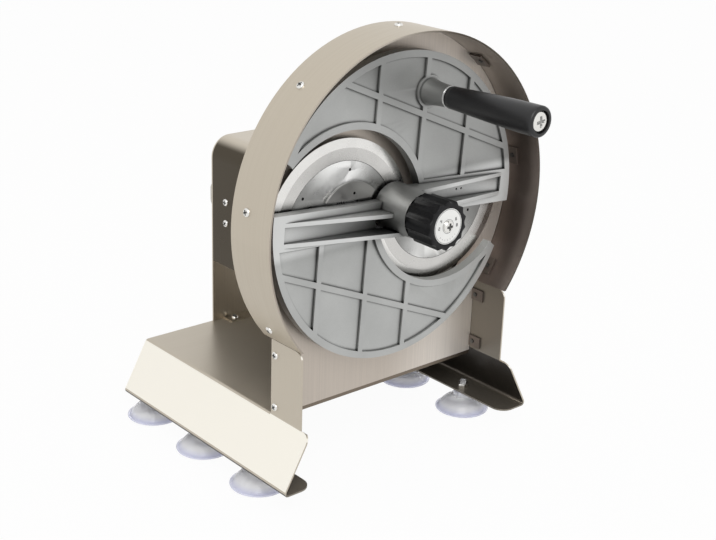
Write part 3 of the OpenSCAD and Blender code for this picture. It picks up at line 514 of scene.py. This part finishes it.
def ground_blade():
    """Blade steel with a bright ground bevel, its grind with a painted highlight: the flat face has the normal -Y,
    and the bevel leans a few degrees.
    The stretch of the lower blade that lies behind the left arm is in its shade."""
    material, tree, shader = new_finish("blade_steel", 1.0, 0.24)
    # the bevel's grind takes a painted highlight
    flat = stepped(tree, math_node(tree, "ABSOLUTE", object_axes(tree, "Normal")["Y"]), 0.9905, 0.998)
    smears = grain(tree, SMEARS)
    place = object_axes(tree, "Object")
    height = above_axis(tree, place)
    under = math_node(tree, "MULTIPLY", stepped(tree, height, *SHADE_BELOW), stepped(tree, place["X"], *SHADE_LEFT))
    behind_arm = math_node(tree, "MULTIPLY", under, stepped(tree, height, *SHADE_ABOVE))
    tree.links.new(blend(tree, behind_arm, blend(tree, flat, BLADE_BEVEL_GRIND_AND_HIGHLIGHT, BLADE_FLAT), BLADE_SHADE),
                   shader.inputs["Base Color"])
    shade_corners(tree, shader, BLADE_REACH)
    vary_roughness(tree, shader, smears, 0.2, 0.32)
    return material


def turned_disc():
    """Lathe-turned carrier with bright rays round the boss of each half, a painted sheen for the turned face's
    reflection. With s = -1 on the right half and 1 on the left one, u = s x - bx and w = s z - bz are measured from
    the boss (bx, bz), and the angle a of (u, w) sets the tone of the painted sheen by cos(rate (a - start)) with
    clouds over it."""
    material, tree, shader = new_finish("carrier_steel", 1.0, 0.3)
    place = object_axes(tree, "Object")
    half = math_node(tree, "SIGN", math_node(tree, "MULTIPLY", place["X"], -1.0))
    height = above_axis(tree, place)
    across, above = (math_node(tree, "SUBTRACT", math_node(tree, "MULTIPLY", value, half), middle)
                     for value, middle in zip((place["X"], height), CARRIER_BOSS))
    angle = math_node(tree, "ARCTAN2", above, across)
    turn = math_node(tree, "MULTIPLY", math_node(tree, "SUBTRACT", angle, RAY_START), RAY_RATE)
    # painted sheen of the turned face, by the angle round the boss
    rays = math_node(tree, "COSINE", turn)
    clouds = grain(tree, (90, 90, 90), 5.0)
    level = math_node(tree, "ADD", rays, math_node(tree, "MULTIPLY", clouds, 0.8))
    disc = blend(tree, stepped(tree, level, -0.7, 1.5), CARRIER_SHEEN_DARK, CARRIER_PAINTED_SHEEN)
    raised = stepped(tree, place["Y"], *BOSS_FRONT)
    tree.links.new(blend(tree, raised, disc, CARRIER_BOSS_GREY), shader.inputs["Base Color"])
    shade_corners(tree, shader, CARRIER_REACH)
    vary_roughness(tree, shader, clouds, 0.24, 0.4)
    return material


def shade_corners(tree, shader, reach, depth=1.5, share=None):
    """Darkens the base colour in inner corners, where other surfaces within the reach hide the sky, by the power
    depth of the open part of the sky. The share, where given, says how much of that shows."""
    colour = shader.inputs["Base Color"].links[0].from_socket
    hidden = tree.nodes.new("ShaderNodeAmbientOcclusion")
    hidden.inputs["Distance"].default_value = reach
    hidden.samples = 8
    level = math_node(tree, "POWER", hidden.outputs["AO"], float(depth))
    if share:
        lost = math_node(tree, "MULTIPLY", math_node(tree, "SUBTRACT", 1.0, level), share)
        level = math_node(tree, "SUBTRACT", 1.0, lost)
    tree.links.new(scaled(tree, colour, level), shader.inputs["Base Color"])


def folded_steel(name, colour, flap_highlight_colour, shade_colour, rough=(0.3, 0.4)):
    """Folded sheet. The object normal's height says where it slants: on the flaps, pale with a painted highlight,
    it lies between that of the upright cheeks and of the level plate, and on the undersides, dark with painted
    shade, it is below zero. The lips near the floor and the inner face of the right cheek are dark with painted
    shade too."""
    material, tree, shader = new_finish(name, 0.6, rough[0])
    strokes = grain(tree, AROUND)
    place, normal = object_axes(tree, "Object"), object_axes(tree, "Normal")
    # painted highlight: the slanting flaps take the pale colour
    slanting = math_node(tree, "MULTIPLY", stepped(tree, normal["Z"], 0.25, 0.4),
                         stepped(tree, normal["Z"], 0.75, 0.56))
    # painted shade on the undersides, on the lips near the floor and on the right cheek's inner face
    under = stepped(tree, normal["Z"], -0.1, -0.3)
    lips = math_node(tree, "MULTIPLY", stepped(tree, place["Z"], *LIP_EDGE), LIP_SHARE)
    inner_cheek = math_node(tree, "MULTIPLY", stepped(tree, normal["X"], -0.7, -0.9),
                            stepped(tree, place["X"], *CHEEK_RIGHT))
    inside = math_node(tree, "MAXIMUM", math_node(tree, "MAXIMUM", under, lips),
                       math_node(tree, "MULTIPLY", inner_cheek, CHEEK_SHARE))
    tone = blend(tree, inside, blend(tree, slanting, colour, flap_highlight_colour), shade_colour)
    tree.links.new(tone, shader.inputs["Base Color"])
    vary_roughness(tree, shader, strokes, *rough)
    relief(tree, shader, strokes, 0.00001, 0.1)
    return material


def arm_polish_and_shade(tree, shader, colour):
    """Brighter tone on the arms, a level band outside the hub, partly polish and partly a painted highlight, and a
    darker one of painted shade on the hub and high on the right. Gives back a socket that is 1 near the arms and
    the hub."""
    place = object_axes(tree, "Object")
    base = shader.inputs["Base Color"].links[0].from_socket
    height = above_axis(tree, place)
    band = stepped(tree, math_node(tree, "ABSOLUTE", height), *ARM_BAND)
    outside = stepped(tree, math_node(tree, "ABSOLUTE", place["X"]), *ARM_START)
    corner = math_node(tree, "ADD", place["X"], height)
    # painted shade high on the right of the wheel
    corner_shade = math_node(tree, "MULTIPLY", stepped(tree, corner, *CORNER_SHADE_SPAN), CORNER_SHADE_SHARE)
    # arms brighter, partly polish and partly painted highlight
    arms = math_node(tree, "MULTIPLY", math_node(tree, "MULTIPLY", band, outside), ARM_SHARE)
    radius = math_node(tree, "SQRT", math_node(tree, "ADD", math_node(tree, "MULTIPLY", place["X"], place["X"]),
                                               math_node(tree, "MULTIPLY", height, height)))
    # painted shade on the hub
    hub = math_node(tree, "MULTIPLY", stepped(tree, radius, *HUB_EDGE), HUB_SHARE)
    tone = blend(tree, arms, blend(tree, math_node(tree, "MAXIMUM", corner_shade, hub), base, CAST_PAINTED_SHADE), colour)
    tree.links.new(tone, shader.inputs["Base Color"])
    return stepped(tree, math_node(tree, "ABSOLUTE", height), *ARM_NEAR)


def cast_metal(name, colour, rough=(0.44, 0.56), bump=0.00012, arm_polish_and_highlight=None):
    """Bead-blasted casting: faint cloudy tone and a fine grain, with arms brightened partly by polish and partly by
    a painted highlight, and painted shade on the hub and high on the right, where an arm colour is named.
    """
    material, tree, shader = new_finish(name, 1.0, rough[0])
    tint(tree, shader, grain(tree, (22, 22, 22), 5.0), colour, 0.07)
    if arm_polish_and_highlight:
        near_arms = arm_polish_and_shade(tree, shader, arm_polish_and_highlight)
        shade_corners(tree, shader, ARM_REACH, ARM_DEPTH, near_arms)
    shade_corners(tree, shader, CORNER_REACH)
    sand = grain(tree, (1400, 1400, 1400), 2.0)
    vary_roughness(tree, shader, sand, *rough)
    relief(tree, shader, sand, bump, 0.35)
    return material


def polished_steel(name, colour, rough=(0.14, 0.26), spread=0.05):
    """Bright turned or plated steel with faint smears."""
    material, tree, shader = new_finish(name, 1.0, rough[0])
    smears = grain(tree, SMEARS)
    tint(tree, shader, smears, colour, spread)
    vary_roughness(tree, shader, smears, *rough)
    return material


def moulded_plastic(name, colour, rough=(0.3, 0.42), spread=0.1, shine=0.5):
    """Satin moulded plastic with a fine spark-eroded grain."""
    material, tree, shader = new_finish(name, 0.0, rough[0])
    shader.inputs["Specular IOR Level"].default_value = shine
    tint(tree, shader, grain(tree, (40, 40, 40), 4.0), colour, spread)
    pores = grain(tree, (1800, 1800, 1800), 2.0)
    vary_roughness(tree, shader, pores, *rough)
    relief(tree, shader, pores, 0.00005, 0.3)
    return material


def clear_vinyl():
    """Soft clear vinyl, milky, with a blue-violet tone towards the floor, where it is seen through its rim."""
    material, tree, shader = new_finish("clear_vinyl", 0.0, 0.18)
    shader.inputs["Transmission Weight"].default_value = 0.55
    shader.inputs["IOR"].default_value = 1.38
    rise = tree.nodes.new("ShaderNodeMapRange")
    rise.inputs["From Max"].default_value = CUP_HEIGHT * 0.3
    ramp = tree.nodes.new("ShaderNodeValToRGB")
    ramp.color_ramp.elements[0].color = (*VINYL_RIM, 1.0)
    ramp.color_ramp.elements[1].color = (*VINYL, 1.0)
    tree.links.new(object_axes(tree, "Object")["Z"], rise.inputs["Value"])
    tree.links.new(rise.outputs["Result"], ramp.inputs["Fac"])
    tree.links.new(ramp.outputs["Color"], shader.inputs["Base Color"])
    vary_roughness(tree, shader, grain(tree, (90, 90, 90), 3.0), 0.14, 0.26)
    return material


# Finishes of this slicer, with their painted light and shade
steel_ring = rolled_ring()
steel_base = folded_steel("base_steel", STEEL_TAN, FLAP_PAINTED_HIGHLIGHT, BASE_PAINTED_SHADE)
steel_trough = brushed_steel("trough_steel", STEEL_TAN, CLOUDS)
# hopper: a painted dark reflection on its wall, rising to a tan painted highlight at its top edge
steel_hopper = brushed_steel("hopper_steel", HOPPER_PAINTED_REFLECTION, CLOUDS, (0.24, 0.34), STEEL_TAN, HOPPER_EDGE)
steel_panel = panel_sheet()
steel_edge = brushed_steel("edge_steel", EDGE_BROWN, CLOUDS)
steel_rear = brushed_steel("rear_steel", STEEL_TAN, UPRIGHT)
cast = cast_metal("cast_aluminium", CAST_GREY)
cast_wheel = cast_metal("cast_wheel", CAST_GREY, arm_polish_and_highlight=CAST_ARM_POLISH_AND_HIGHLIGHT)
bright = polished_steel("bright_steel", BRIGHT_STEEL)
collar_chrome = polished_steel("collar_chrome", COLLAR_CHROME, (0.1, 0.18))
blade_bright = ground_blade()
carrier_grey = turned_disc()
black = moulded_plastic("black_plastic", SATIN_BLACK)
knob_black = moulded_plastic("knob_plastic", SATIN_BLACK, (0.26, 0.36), 0.1, 0.22)
pale = moulded_plastic("pale_plastic", PALE_PLASTIC, (0.4, 0.5), 0.04)
bronze = cast_metal("sintered_bronze", BRONZE)
vinyl = clear_vinyl()
# painted shade for screw recesses and shanks
recess = polished_steel("recess_steel", RECESS_PAINTED_SHADE, (0.4, 0.5))
cap_recess = polished_steel("cap_recess_steel", CAP_RECESS_PAINTED_SHADE, (0.4, 0.5))
marks = moulded_plastic("printed_marks", MARK_GREY, (0.5, 0.6))
dial_silver = polished_steel("dial_silver", DIAL_SILVER, (0.4, 0.5), 0.03)

NODE_FINISH = {
    "drum_ring": steel_ring, "drum_back_panel": steel_panel, "base_sheet": steel_base,
    "hopper_shell": steel_hopper, "feed_trough": steel_trough, "rear_panel": steel_rear,
    "bearing_housing": cast, "front_bush": bronze, "rear_bush": bronze, "rod_bushes": bronze,
    "bearing_bolts": bright, "cup_nuts": bright, "main_shaft": bright, "blade_carrier": carrier_grey,
    "blade_upper": blade_bright, "blade_lower": blade_bright, "blade_screws": bright,
    "shaft_nut": bright, "shaft_washer": bright, "slicing_wheel": cast_wheel, "adjusting_spring": bright,
    "crank_spindle": bright, "collar_washer": collar_chrome, "grip_end_screw": bright, "dial_plate": dial_silver,
    "pusher_block": pale, "pusher_rods": bright, "pusher_bar": pale, "pusher_nuts": bright,
    "ring_screws": bright, "cheek_screws": bright, "hopper_screws": bright, "foot_screws": bright,
    "dial_screw": bright, "adjusting_knob": knob_black, "crank_grip": black,
    "suction_cups_left": vinyl, "suction_cups_right": vinyl,
}


def dress_nodes():
    """Gives every node of the frame its finish."""
    for name, material in NODE_FINISH.items():
        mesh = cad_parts[name].data
        mesh.materials.clear()
        mesh.materials.append(material)


dress_nodes()
soften("wheel_casting", "slicing_wheel", cast_wheel, "wheel", 0.7 * MM)
soften("carrier_plate", "blade_carrier", carrier_grey, "blade_rotor", 0.4 * MM)
soften("ring_sheet", "drum_ring", steel_ring, "housing", 0.3 * MM)


# Screws


def cross_head(radius, height, reach=0.62, width=0.17, steps=29):
    """Pan head with a cross recess. The square grid u, v from -1 to 1 becomes a disc by
    x = u sqrt(1 - v^2/2), y = v sqrt(1 - u^2/2). Its height is the dome (1 - rho^4)^(1/2), sunk where the
    smaller of |x| and |y| is under the width and rho is under the reach. Also says which faces are sunk."""
    line = np.sin(np.linspace(-1, 1, steps) * np.pi / 2)
    u, v = np.meshgrid(line, line, indexing="ij")
    x, y = u * np.sqrt(1 - v ** 2 / 2), v * np.sqrt(1 - u ** 2 / 2)
    rho = np.minimum(np.hypot(x, y), 1.0)
    sunk = (np.minimum(np.abs(x), np.abs(y)) < width) & (rho < reach)
    z = height * (np.sqrt(1 - rho ** 4) - 0.4 * sunk)
    faces = grid_quads(steps, steps)
    return np.stack([x * radius, y * radius, z], -1).reshape(-1, 3), faces, sunk.ravel()[faces].any(1)


def crossed_screws(name, node, body, direction_of, head_h=HEAD_H):
    """The screws of a node with cross heads: each solid keeps its axis, its shank and its head's size. Their
    recesses and shanks are dark with painted shade.
    """
    parts, shades = [], []
    for number, solid in enumerate(node_solids(node)):
        middle = (solid.min(0) + solid.max(0)) / 2
        out = np.asarray(direction_of(middle), float)
        along = (solid - middle) @ out
        around = np.linalg.norm(solid - middle - along[:, None] * out, axis=1)
        seat = middle + out * (along.max() - head_h)
        matrix = facing(out, seat) @ Matrix.Rotation(0.7 * number, 4, "Z")
        points, faces, sunk = cross_head(around.max(), head_h)
        shank_r, shank_end = around[along < 0].max(), along.min() - along.max() + head_h
        shank = revolve([(around.max(), 0), (shank_r, 0), (shank_r, shank_end), (0, shank_end)], 20)
        for (verts, quads), shade in (((points, faces), sunk), (shank, np.full(len(shank[1]), 2))):
            parts.append((placed(verts, matrix), quads))
            shades.append(shade)
    make_piece(name, *joined(parts), [bright, recess, recess], body, "bright_steel", [node], 50.0,
               np.concatenate(shades))


def radial(middle):
    """Direction away from the crank axis."""
    away = np.array([middle[0], 0.0, middle[2] - AXIS_Z])
    return away / np.linalg.norm(away)


crossed_screws("ring_screw_heads", "ring_screws", "housing", radial)
crossed_screws("cheek_screw_heads", "cheek_screws", "housing", lambda middle: (np.sign(middle[0]), 0, 0))
crossed_screws("hopper_screw_heads", "hopper_screws", "housing", lambda middle: (-1, 0, 0))
crossed_screws("foot_screw_heads", "foot_screws", "housing", lambda middle: (0, 0, 1))
crossed_screws("dial_screw_head", "dial_screw", "knob", lambda middle: (0, -1, 0), DIAL_HEAD_H)


# Lower edge of the panel


def panel_edge():
    """Lower edge strip of the panel, set back a little in its sheet. Its section is the rounded box with corners
    sign(cos t) |cos t|^0.3 and sign(sin t) |sin t|^0.3, carried along X from cheek to cheek, and closed at its
    ends by drawing it in to its middle."""
    t = np.linspace(0, math.tau, 32, endpoint=False)
    y, z = (np.sign(wave) * np.abs(wave) ** 0.3 for wave in (np.cos(t), np.sin(t)))
    size = np.array([0.0, 1.0, 1.0, 0.0])[:, None]
    front = TABS_FRONT + PANEL_TAB
    x = np.array([-1.0, -1.0, 1.0, 1.0])[:, None] * (EDGE_REACH - EDGE_GAP) * np.ones_like(t)
    points = np.stack([x, front + EDGE_BACK + EDGE_THICK / 2 * (1 + size * y),
                       PANEL_LOW.z - EDGE_DROP / 2 + (EDGE_DROP / 2 + EDGE_GAP) * size * z], -1).reshape(-1, 3)
    make_piece("panel_edge", points, grid_quads(len(size), len(t), close_cols=True), [steel_edge], "housing",
               "sheet_steel")


panel_edge()


# Spring


def spring_coil():
    """Round wire on a helix about the crank axis: at the turn a, point k of the wire lies at the radius
    R + w cos(k), and along the axis at a's share of the length plus w sin(k). The wire shrinks to a point at both
    ends."""
    low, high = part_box("adjusting_spring")
    wire, turns, sides = 1.0 * MM, 6, 10
    a = np.linspace(0, 2 * np.pi * turns, turns * 32 + 1)
    share = np.concatenate([[0], a / a[-1], [1]])[:, None]
    a = np.concatenate([a[:1], a, a[-1:]])[:, None]
    w = np.full(a.shape, wire)
    w[[0, -1]] = 0
    k = np.linspace(0, 2 * np.pi, sides, endpoint=False)
    r = (high.x - low.x) / 2 - wire + w * np.cos(k)
    along = low.y + wire + (high.y - low.y - 2 * wire) * share + w * np.sin(k)
    points = np.stack([r * np.cos(a), along, AXIS_Z + r * np.sin(a)], -1).reshape(-1, 3)
    piece = make_piece("spring_coil", points, grid_quads(len(a), sides, close_cols=True), [bright], None,
                       "bright_steel", ["adjusting_spring"], 60.0)
    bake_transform(piece)


spring_coil()


# Knob


def knob():
    """Scalloped knob: the outline radius R(s) at height s is pulled in by hollow(t) = d |cos(n t / 2)|^1.1, so
    that narrow ridges stay between the hollows, and the hollows fade out on the front face."""
    length = KNOB_HIGH.y - KNOB_LOW.y
    dial_r = DIAL_R + FIT_GAP
    rear_r = KNOB_R * 0.985
    profile = rounded_profile([
        (0, 0), (rear_r, 0), (KNOB_R, length), (dial_r, length), (dial_r, length - DIAL_SEAT),
        (0, length - DIAL_SEAT)], KNOB_ROUND)
    points, faces = revolve(profile, KNOB_SIDES)
    radius = np.hypot(points[:, 0], points[:, 1])
    angle = np.arctan2(points[:, 1], points[:, 0])
    share = np.clip((radius - dial_r) / (KNOB_R - dial_r), 0, 1)
    hollow = KNOB_HOLLOW * np.abs(np.cos(KNOB_LOBES * angle / 2)) ** 1.1 * np.clip(share * 2.2, 0, 1)
    points[:, :2] *= np.where(radius > 0, (radius - hollow) / np.maximum(radius, 1e-9), 1.0)[:, None]
    points = placed(points, facing((0, -1, 0), (0, KNOB_HIGH.y, AXIS_Z)))
    make_piece("knob", points, faces, [knob_black], "knob", "black_plastic", ["adjusting_knob"], 50.0)


knob()


# Grip


def grip():
    """Turned grip: its radius grows from the neck n to the end's radius e by n + (e - n) sin(pi s / 2)^1.15 along
    its length, its free end is rounded, and a recess holds the end screw."""
    length = GRIP_HIGH.y - GRIP_LOW.y
    cap_r = CAP_R + FIT_GAP
    floor = length - GRIP_RECESS
    neck = GRIP_END_R * 0.75
    s = np.linspace(0, 1, 24)[:, None]
    swell = neck + (GRIP_END_R - neck) * np.sin(s * np.pi / 2) ** 1.15
    flank = np.concatenate([swell, s * (length - 3 * MM) + 1 * MM], 1)
    profile = np.concatenate([
        [(GRIP_BORE, 0), (neck - 1.0 * MM, 0)], flank,
        [(GRIP_END_R - 0.3 * MM, length - 1.0 * MM), (GRIP_END_R - 1.2 * MM, length - 0.2 * MM),
         (GRIP_END_R - 2.2 * MM, length), (cap_r, length), (cap_r, floor), (GRIP_BORE, floor), (GRIP_BORE, 0)]])
    points, faces = revolve(profile, 72)
    points = placed(points, facing((0, -1, 0), (GRIP_X, GRIP_HIGH.y, GRIP_Z)))
    make_piece("grip", points, faces, [black], "grip", "black_plastic", ["crank_grip"], 50.0)


grip()


def collar():
    """Turned collar behind the grip, with a groove round its middle and two rounded rims."""
    low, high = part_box("collar_washer")
    radius, height = (high.x - low.x) / 2, high.y - low.y
    profile = rounded_profile([
        (COLLAR_BORE, 0), (radius, 0), (radius, height * 0.45), (radius * 0.93, height * 0.5),
        (radius, height * 0.55), (radius, height), (COLLAR_BORE, height)], 0.5 * MM)
    points, faces = revolve(np.concatenate([profile, profile[:1]]), 64)
    points = placed(points, facing((0, -1, 0), (GRIP_X, high.y, GRIP_Z)))
    make_piece("collar", points, faces, [collar_chrome], "wheel", "bright_steel", ["collar_washer"], 50.0)


collar()


def grip_cap():
    """Large cross-head screw in the end of the grip, whose recess is dark with painted shade."""
    points, faces, sunk = cross_head(CAP_R, CAP_HIGH.y - CAP_LOW.y, 0.52, 0.1, 41)
    points = placed(points, facing((0, -1, 0), (GRIP_X, CAP_HIGH.y, GRIP_Z)) @ Matrix.Rotation(0.1, 4, "Z"))
    make_piece("grip_cap", points, faces, [bright, cap_recess], "wheel", "bright_steel", ["grip_end_screw"], 50.0,
               sunk)


grip_cap()


# Dial

# Strokes of plain figures on a grid of one by two, as pairs of corners, and where they stand on the dial
FIGURES = [
    (math.radians(182), [(0, 2, 1, 2), (1, 2, 1, 1), (1, 1, 0, 1), (0, 1, 0, 0), (0, 0, 1, 0)]),
    (math.radians(146), [(0, 2, 0, 1), (0, 1, 1, 1), (1, 2, 1, 0)]),
    (math.radians(30), [(1, 2, 0, 2), (0, 2, 0, 0), (0, 0, 1, 0), (1, 0, 1, 1), (1, 1, 0, 1)]),
    (math.radians(-3), [(0, 0, 1, 0), (1, 0, 1, 2), (1, 2, 0, 2), (0, 2, 0, 0), (0, 1, 1, 1)]),
]


def stroke(a, b, width):
    """Thin raised bar from a to b on the dial: the corners of a box round the line a + s (b - a)."""
    a, b = np.asarray(a, float), np.asarray(b, float)
    along = (b - a) / np.linalg.norm(b - a) * width / 2
    across = np.array([-along[1], along[0]])
    base = np.array([a - along - across, b + along - across, b + along + across, a - along + across])
    low, high = np.c_[base, np.full(4, -DIAL_PROUD)], np.c_[base, np.full(4, DIAL_PROUD)]
    sides = [(i, (i + 1) % 4, 4 + (i + 1) % 4, 4 + i) for i in range(4)]
    return np.concatenate([low, high]), np.array([(3, 2, 1, 0), (4, 5, 6, 7)] + sides)


def dial_print():
    """Ring line round the dial and the screw, four upright figures at two thirds of the radius, and short ticks
    along the lower edge."""
    parts = []
    for radius in (0.95 * DIAL_R, 0.39 * DIAL_R):
        inner, outer = radius - RING_LINE / 2, radius + RING_LINE / 2
        parts.append(revolve([(inner, -DIAL_PROUD), (outer, -DIAL_PROUD), (outer, DIAL_PROUD), (inner, DIAL_PROUD),
                              (inner, -DIAL_PROUD)], 64))
    for angle, strokes in FIGURES:
        middle = 0.66 * DIAL_R * np.array([np.cos(angle), np.sin(angle)])
        for x0, y0, x1, y1 in strokes:
            ends = [middle + np.array([(x - 0.5) * FIGURE_W, (y - 1) * FIGURE_H]) for x, y in ((x0, y0), (x1, y1))]
            parts.append(stroke(*ends, FIGURE_LINE))
    for angle in np.radians(np.arange(225, 316, 15)):
        ray = np.array([np.cos(angle), np.sin(angle)])
        parts.append(stroke(0.74 * DIAL_R * ray, 0.8 * DIAL_R * ray, TICK_LINE))
    points, faces = joined(parts)
    points = placed(points, facing((0, -1, 0), (0, DIAL_LOW.y, AXIS_Z)))
    make_piece("dial_print", points, faces, [marks], "knob", "black_plastic")


dial_print()


# Suction cups


def cup_profile():
    """Outline of a cup from its stud's top down the dome and out to the thin rim, and up the hollow underside.
    The dome falls by cos(pi s / 2)^1.25 while its radius grows by s^0.8, so it meets the rim in a soft hollow."""
    top = CUP_HIGH.z
    neck, stud, rim = 9.0 * MM, 3.0 * MM, 1.3 * MM
    shoulder = CUP_HEIGHT * 0.62
    s = np.linspace(0, 1, 18)[:, None]
    dome = np.concatenate([
        neck + (CUP_R * 0.97 - neck) * s ** 0.8, rim + (shoulder - rim) * np.cos(s * np.pi / 2) ** 1.25], 1)
    inner = np.concatenate([
        CUP_R * 0.9 * np.cos(s * np.pi / 2), (shoulder - 4 * MM) * np.sin(s * np.pi / 2)], 1)
    return np.concatenate([
        [(0, top), (stud, top), (stud, CUP_HEIGHT), (neck * 0.9, CUP_HEIGHT), (neck, CUP_HEIGHT - 1 * MM)], dome,
        [(CUP_R, rim * 0.7), (CUP_R, rim * 0.3), (CUP_R - 0.4 * MM, 0)], inner])


def suction_cups(side, name):
    """Three cups in a row along one flap."""
    low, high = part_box(name)
    x = (low.x + high.x) / 2
    ys = np.linspace(low.y + CUP_R, high.y - CUP_R, CUP_COUNT)
    cup = revolve(cup_profile(), 64)
    parts = [(cup[0] + np.array([x, y, 0.0]), cup[1]) for y in ys]
    make_piece(f"cups_{side}", *joined(parts), [vinyl], "housing", "clear_vinyl", [name], 50.0)


suction_cups("left", "suction_cups_left")
suction_cups("right", "suction_cups_right")


# Room, light and camera


def white_room():
    """World that gives soft light and is white where it is seen, directly, in metal or through vinyl."""
    world = bpy.data.worlds.new("white_room")
    bpy.context.scene.world = world
    world.use_nodes = True
    tree = world.node_tree
    light, seen = tree.nodes["Background"], tree.nodes.new("ShaderNodeBackground")
    light.inputs["Color"].default_value = ROOM_TONE
    light.inputs["Strength"].default_value = ROOM_LIGHT
    seen.inputs["Color"].default_value = WHITE
    mix_by_ray(tree, light.outputs[0], seen.outputs[0], tree.nodes["World Output"].inputs["Surface"], 1.0)


def mix_by_ray(tree, lit, seen, target, share):
    """Shows the seen shader to camera, glossy and transmission rays by the share, and the lit one to the rest."""
    path = tree.nodes.new("ShaderNodeLightPath")
    largest = path.outputs["Is Camera Ray"]
    for name in ("Is Glossy Ray", "Is Transmission Ray"):
        largest = math_node(tree, "MAXIMUM", largest, path.outputs[name])
    mix = tree.nodes.new("ShaderNodeMixShader")
    tree.links.new(math_node(tree, "MULTIPLY", largest, share), mix.inputs["Fac"])
    tree.links.new(lit, mix.inputs[1])
    tree.links.new(seen, mix.inputs[2])
    tree.links.new(mix.outputs[0], target)


def pale_floor():
    """Large pale floor that keeps a faint shadow."""
    mesh = bpy.data.meshes.new("floor")
    corners = [(x * FLOOR_HALF, y * FLOOR_HALF, 0) for x, y in ((-1, -1), (1, -1), (1, 1), (-1, 1))]
    mesh.from_pydata(corners, [], [(0, 1, 2, 3)])
    floor = bpy.data.objects.new("floor", mesh)
    bpy.context.scene.collection.objects.link(floor)
    material, tree, shader = new_finish("floor_paint", 0.0, 0.9)
    shader.inputs["Base Color"].default_value = FLOOR_PALE
    glow = tree.nodes.new("ShaderNodeEmission")
    glow.inputs["Color"].default_value = WHITE
    surface = tree.nodes["Material Output"].inputs["Surface"]
    mix_by_ray(tree, shader.outputs[0], glow.outputs[0], surface, FLOOR_WHITE)
    mesh.materials.append(material)


def soft_box(name, place, target, size, power):
    """Area lamp of a width and a height at a place, facing a target."""
    lamp = bpy.data.lights.new(name, "AREA")
    lamp.shape = "RECTANGLE"
    lamp.size, lamp.size_y = size
    lamp.energy = power
    holder = bpy.data.objects.new(name, lamp)
    bpy.context.scene.collection.objects.link(holder)
    holder.matrix_world = facing(Vector(place) - Vector(target), place)


def photo_camera():
    """Camera whose axes follow the fitted azimuth, elevation and roll."""
    az, el, roll = CAMERA_AZIMUTH, CAMERA_ELEVATION, CAMERA_ROLL
    back = Vector((-math.sin(az) * math.cos(el), -math.cos(az) * math.cos(el), math.sin(el)))
    right = Vector((0, 0, 1)).cross(back).normalized()
    up = back.cross(right)
    across = math.cos(roll) * right + math.sin(roll) * up
    upright = back.cross(across)
    data = bpy.data.cameras.new("photo_camera")
    data.sensor_width = SENSOR_MM
    data.lens = FOCAL_PIXELS * SENSOR_MM / PHOTO_WIDTH
    camera = bpy.data.objects.new("photo_camera", data)
    bpy.context.scene.collection.objects.link(camera)
    camera.matrix_world = Matrix.Translation(CAMERA_PLACE) @ Matrix((across, upright, back)).transposed().to_4x4()
    bpy.context.scene.camera = camera


white_room()
pale_floor()
soft_box("key", KEY_PLACE, MIDDLE, KEY_SIZE, KEY_POWER)
photo_camera()

bpy.context.scene.view_settings.view_transform = "Standard"
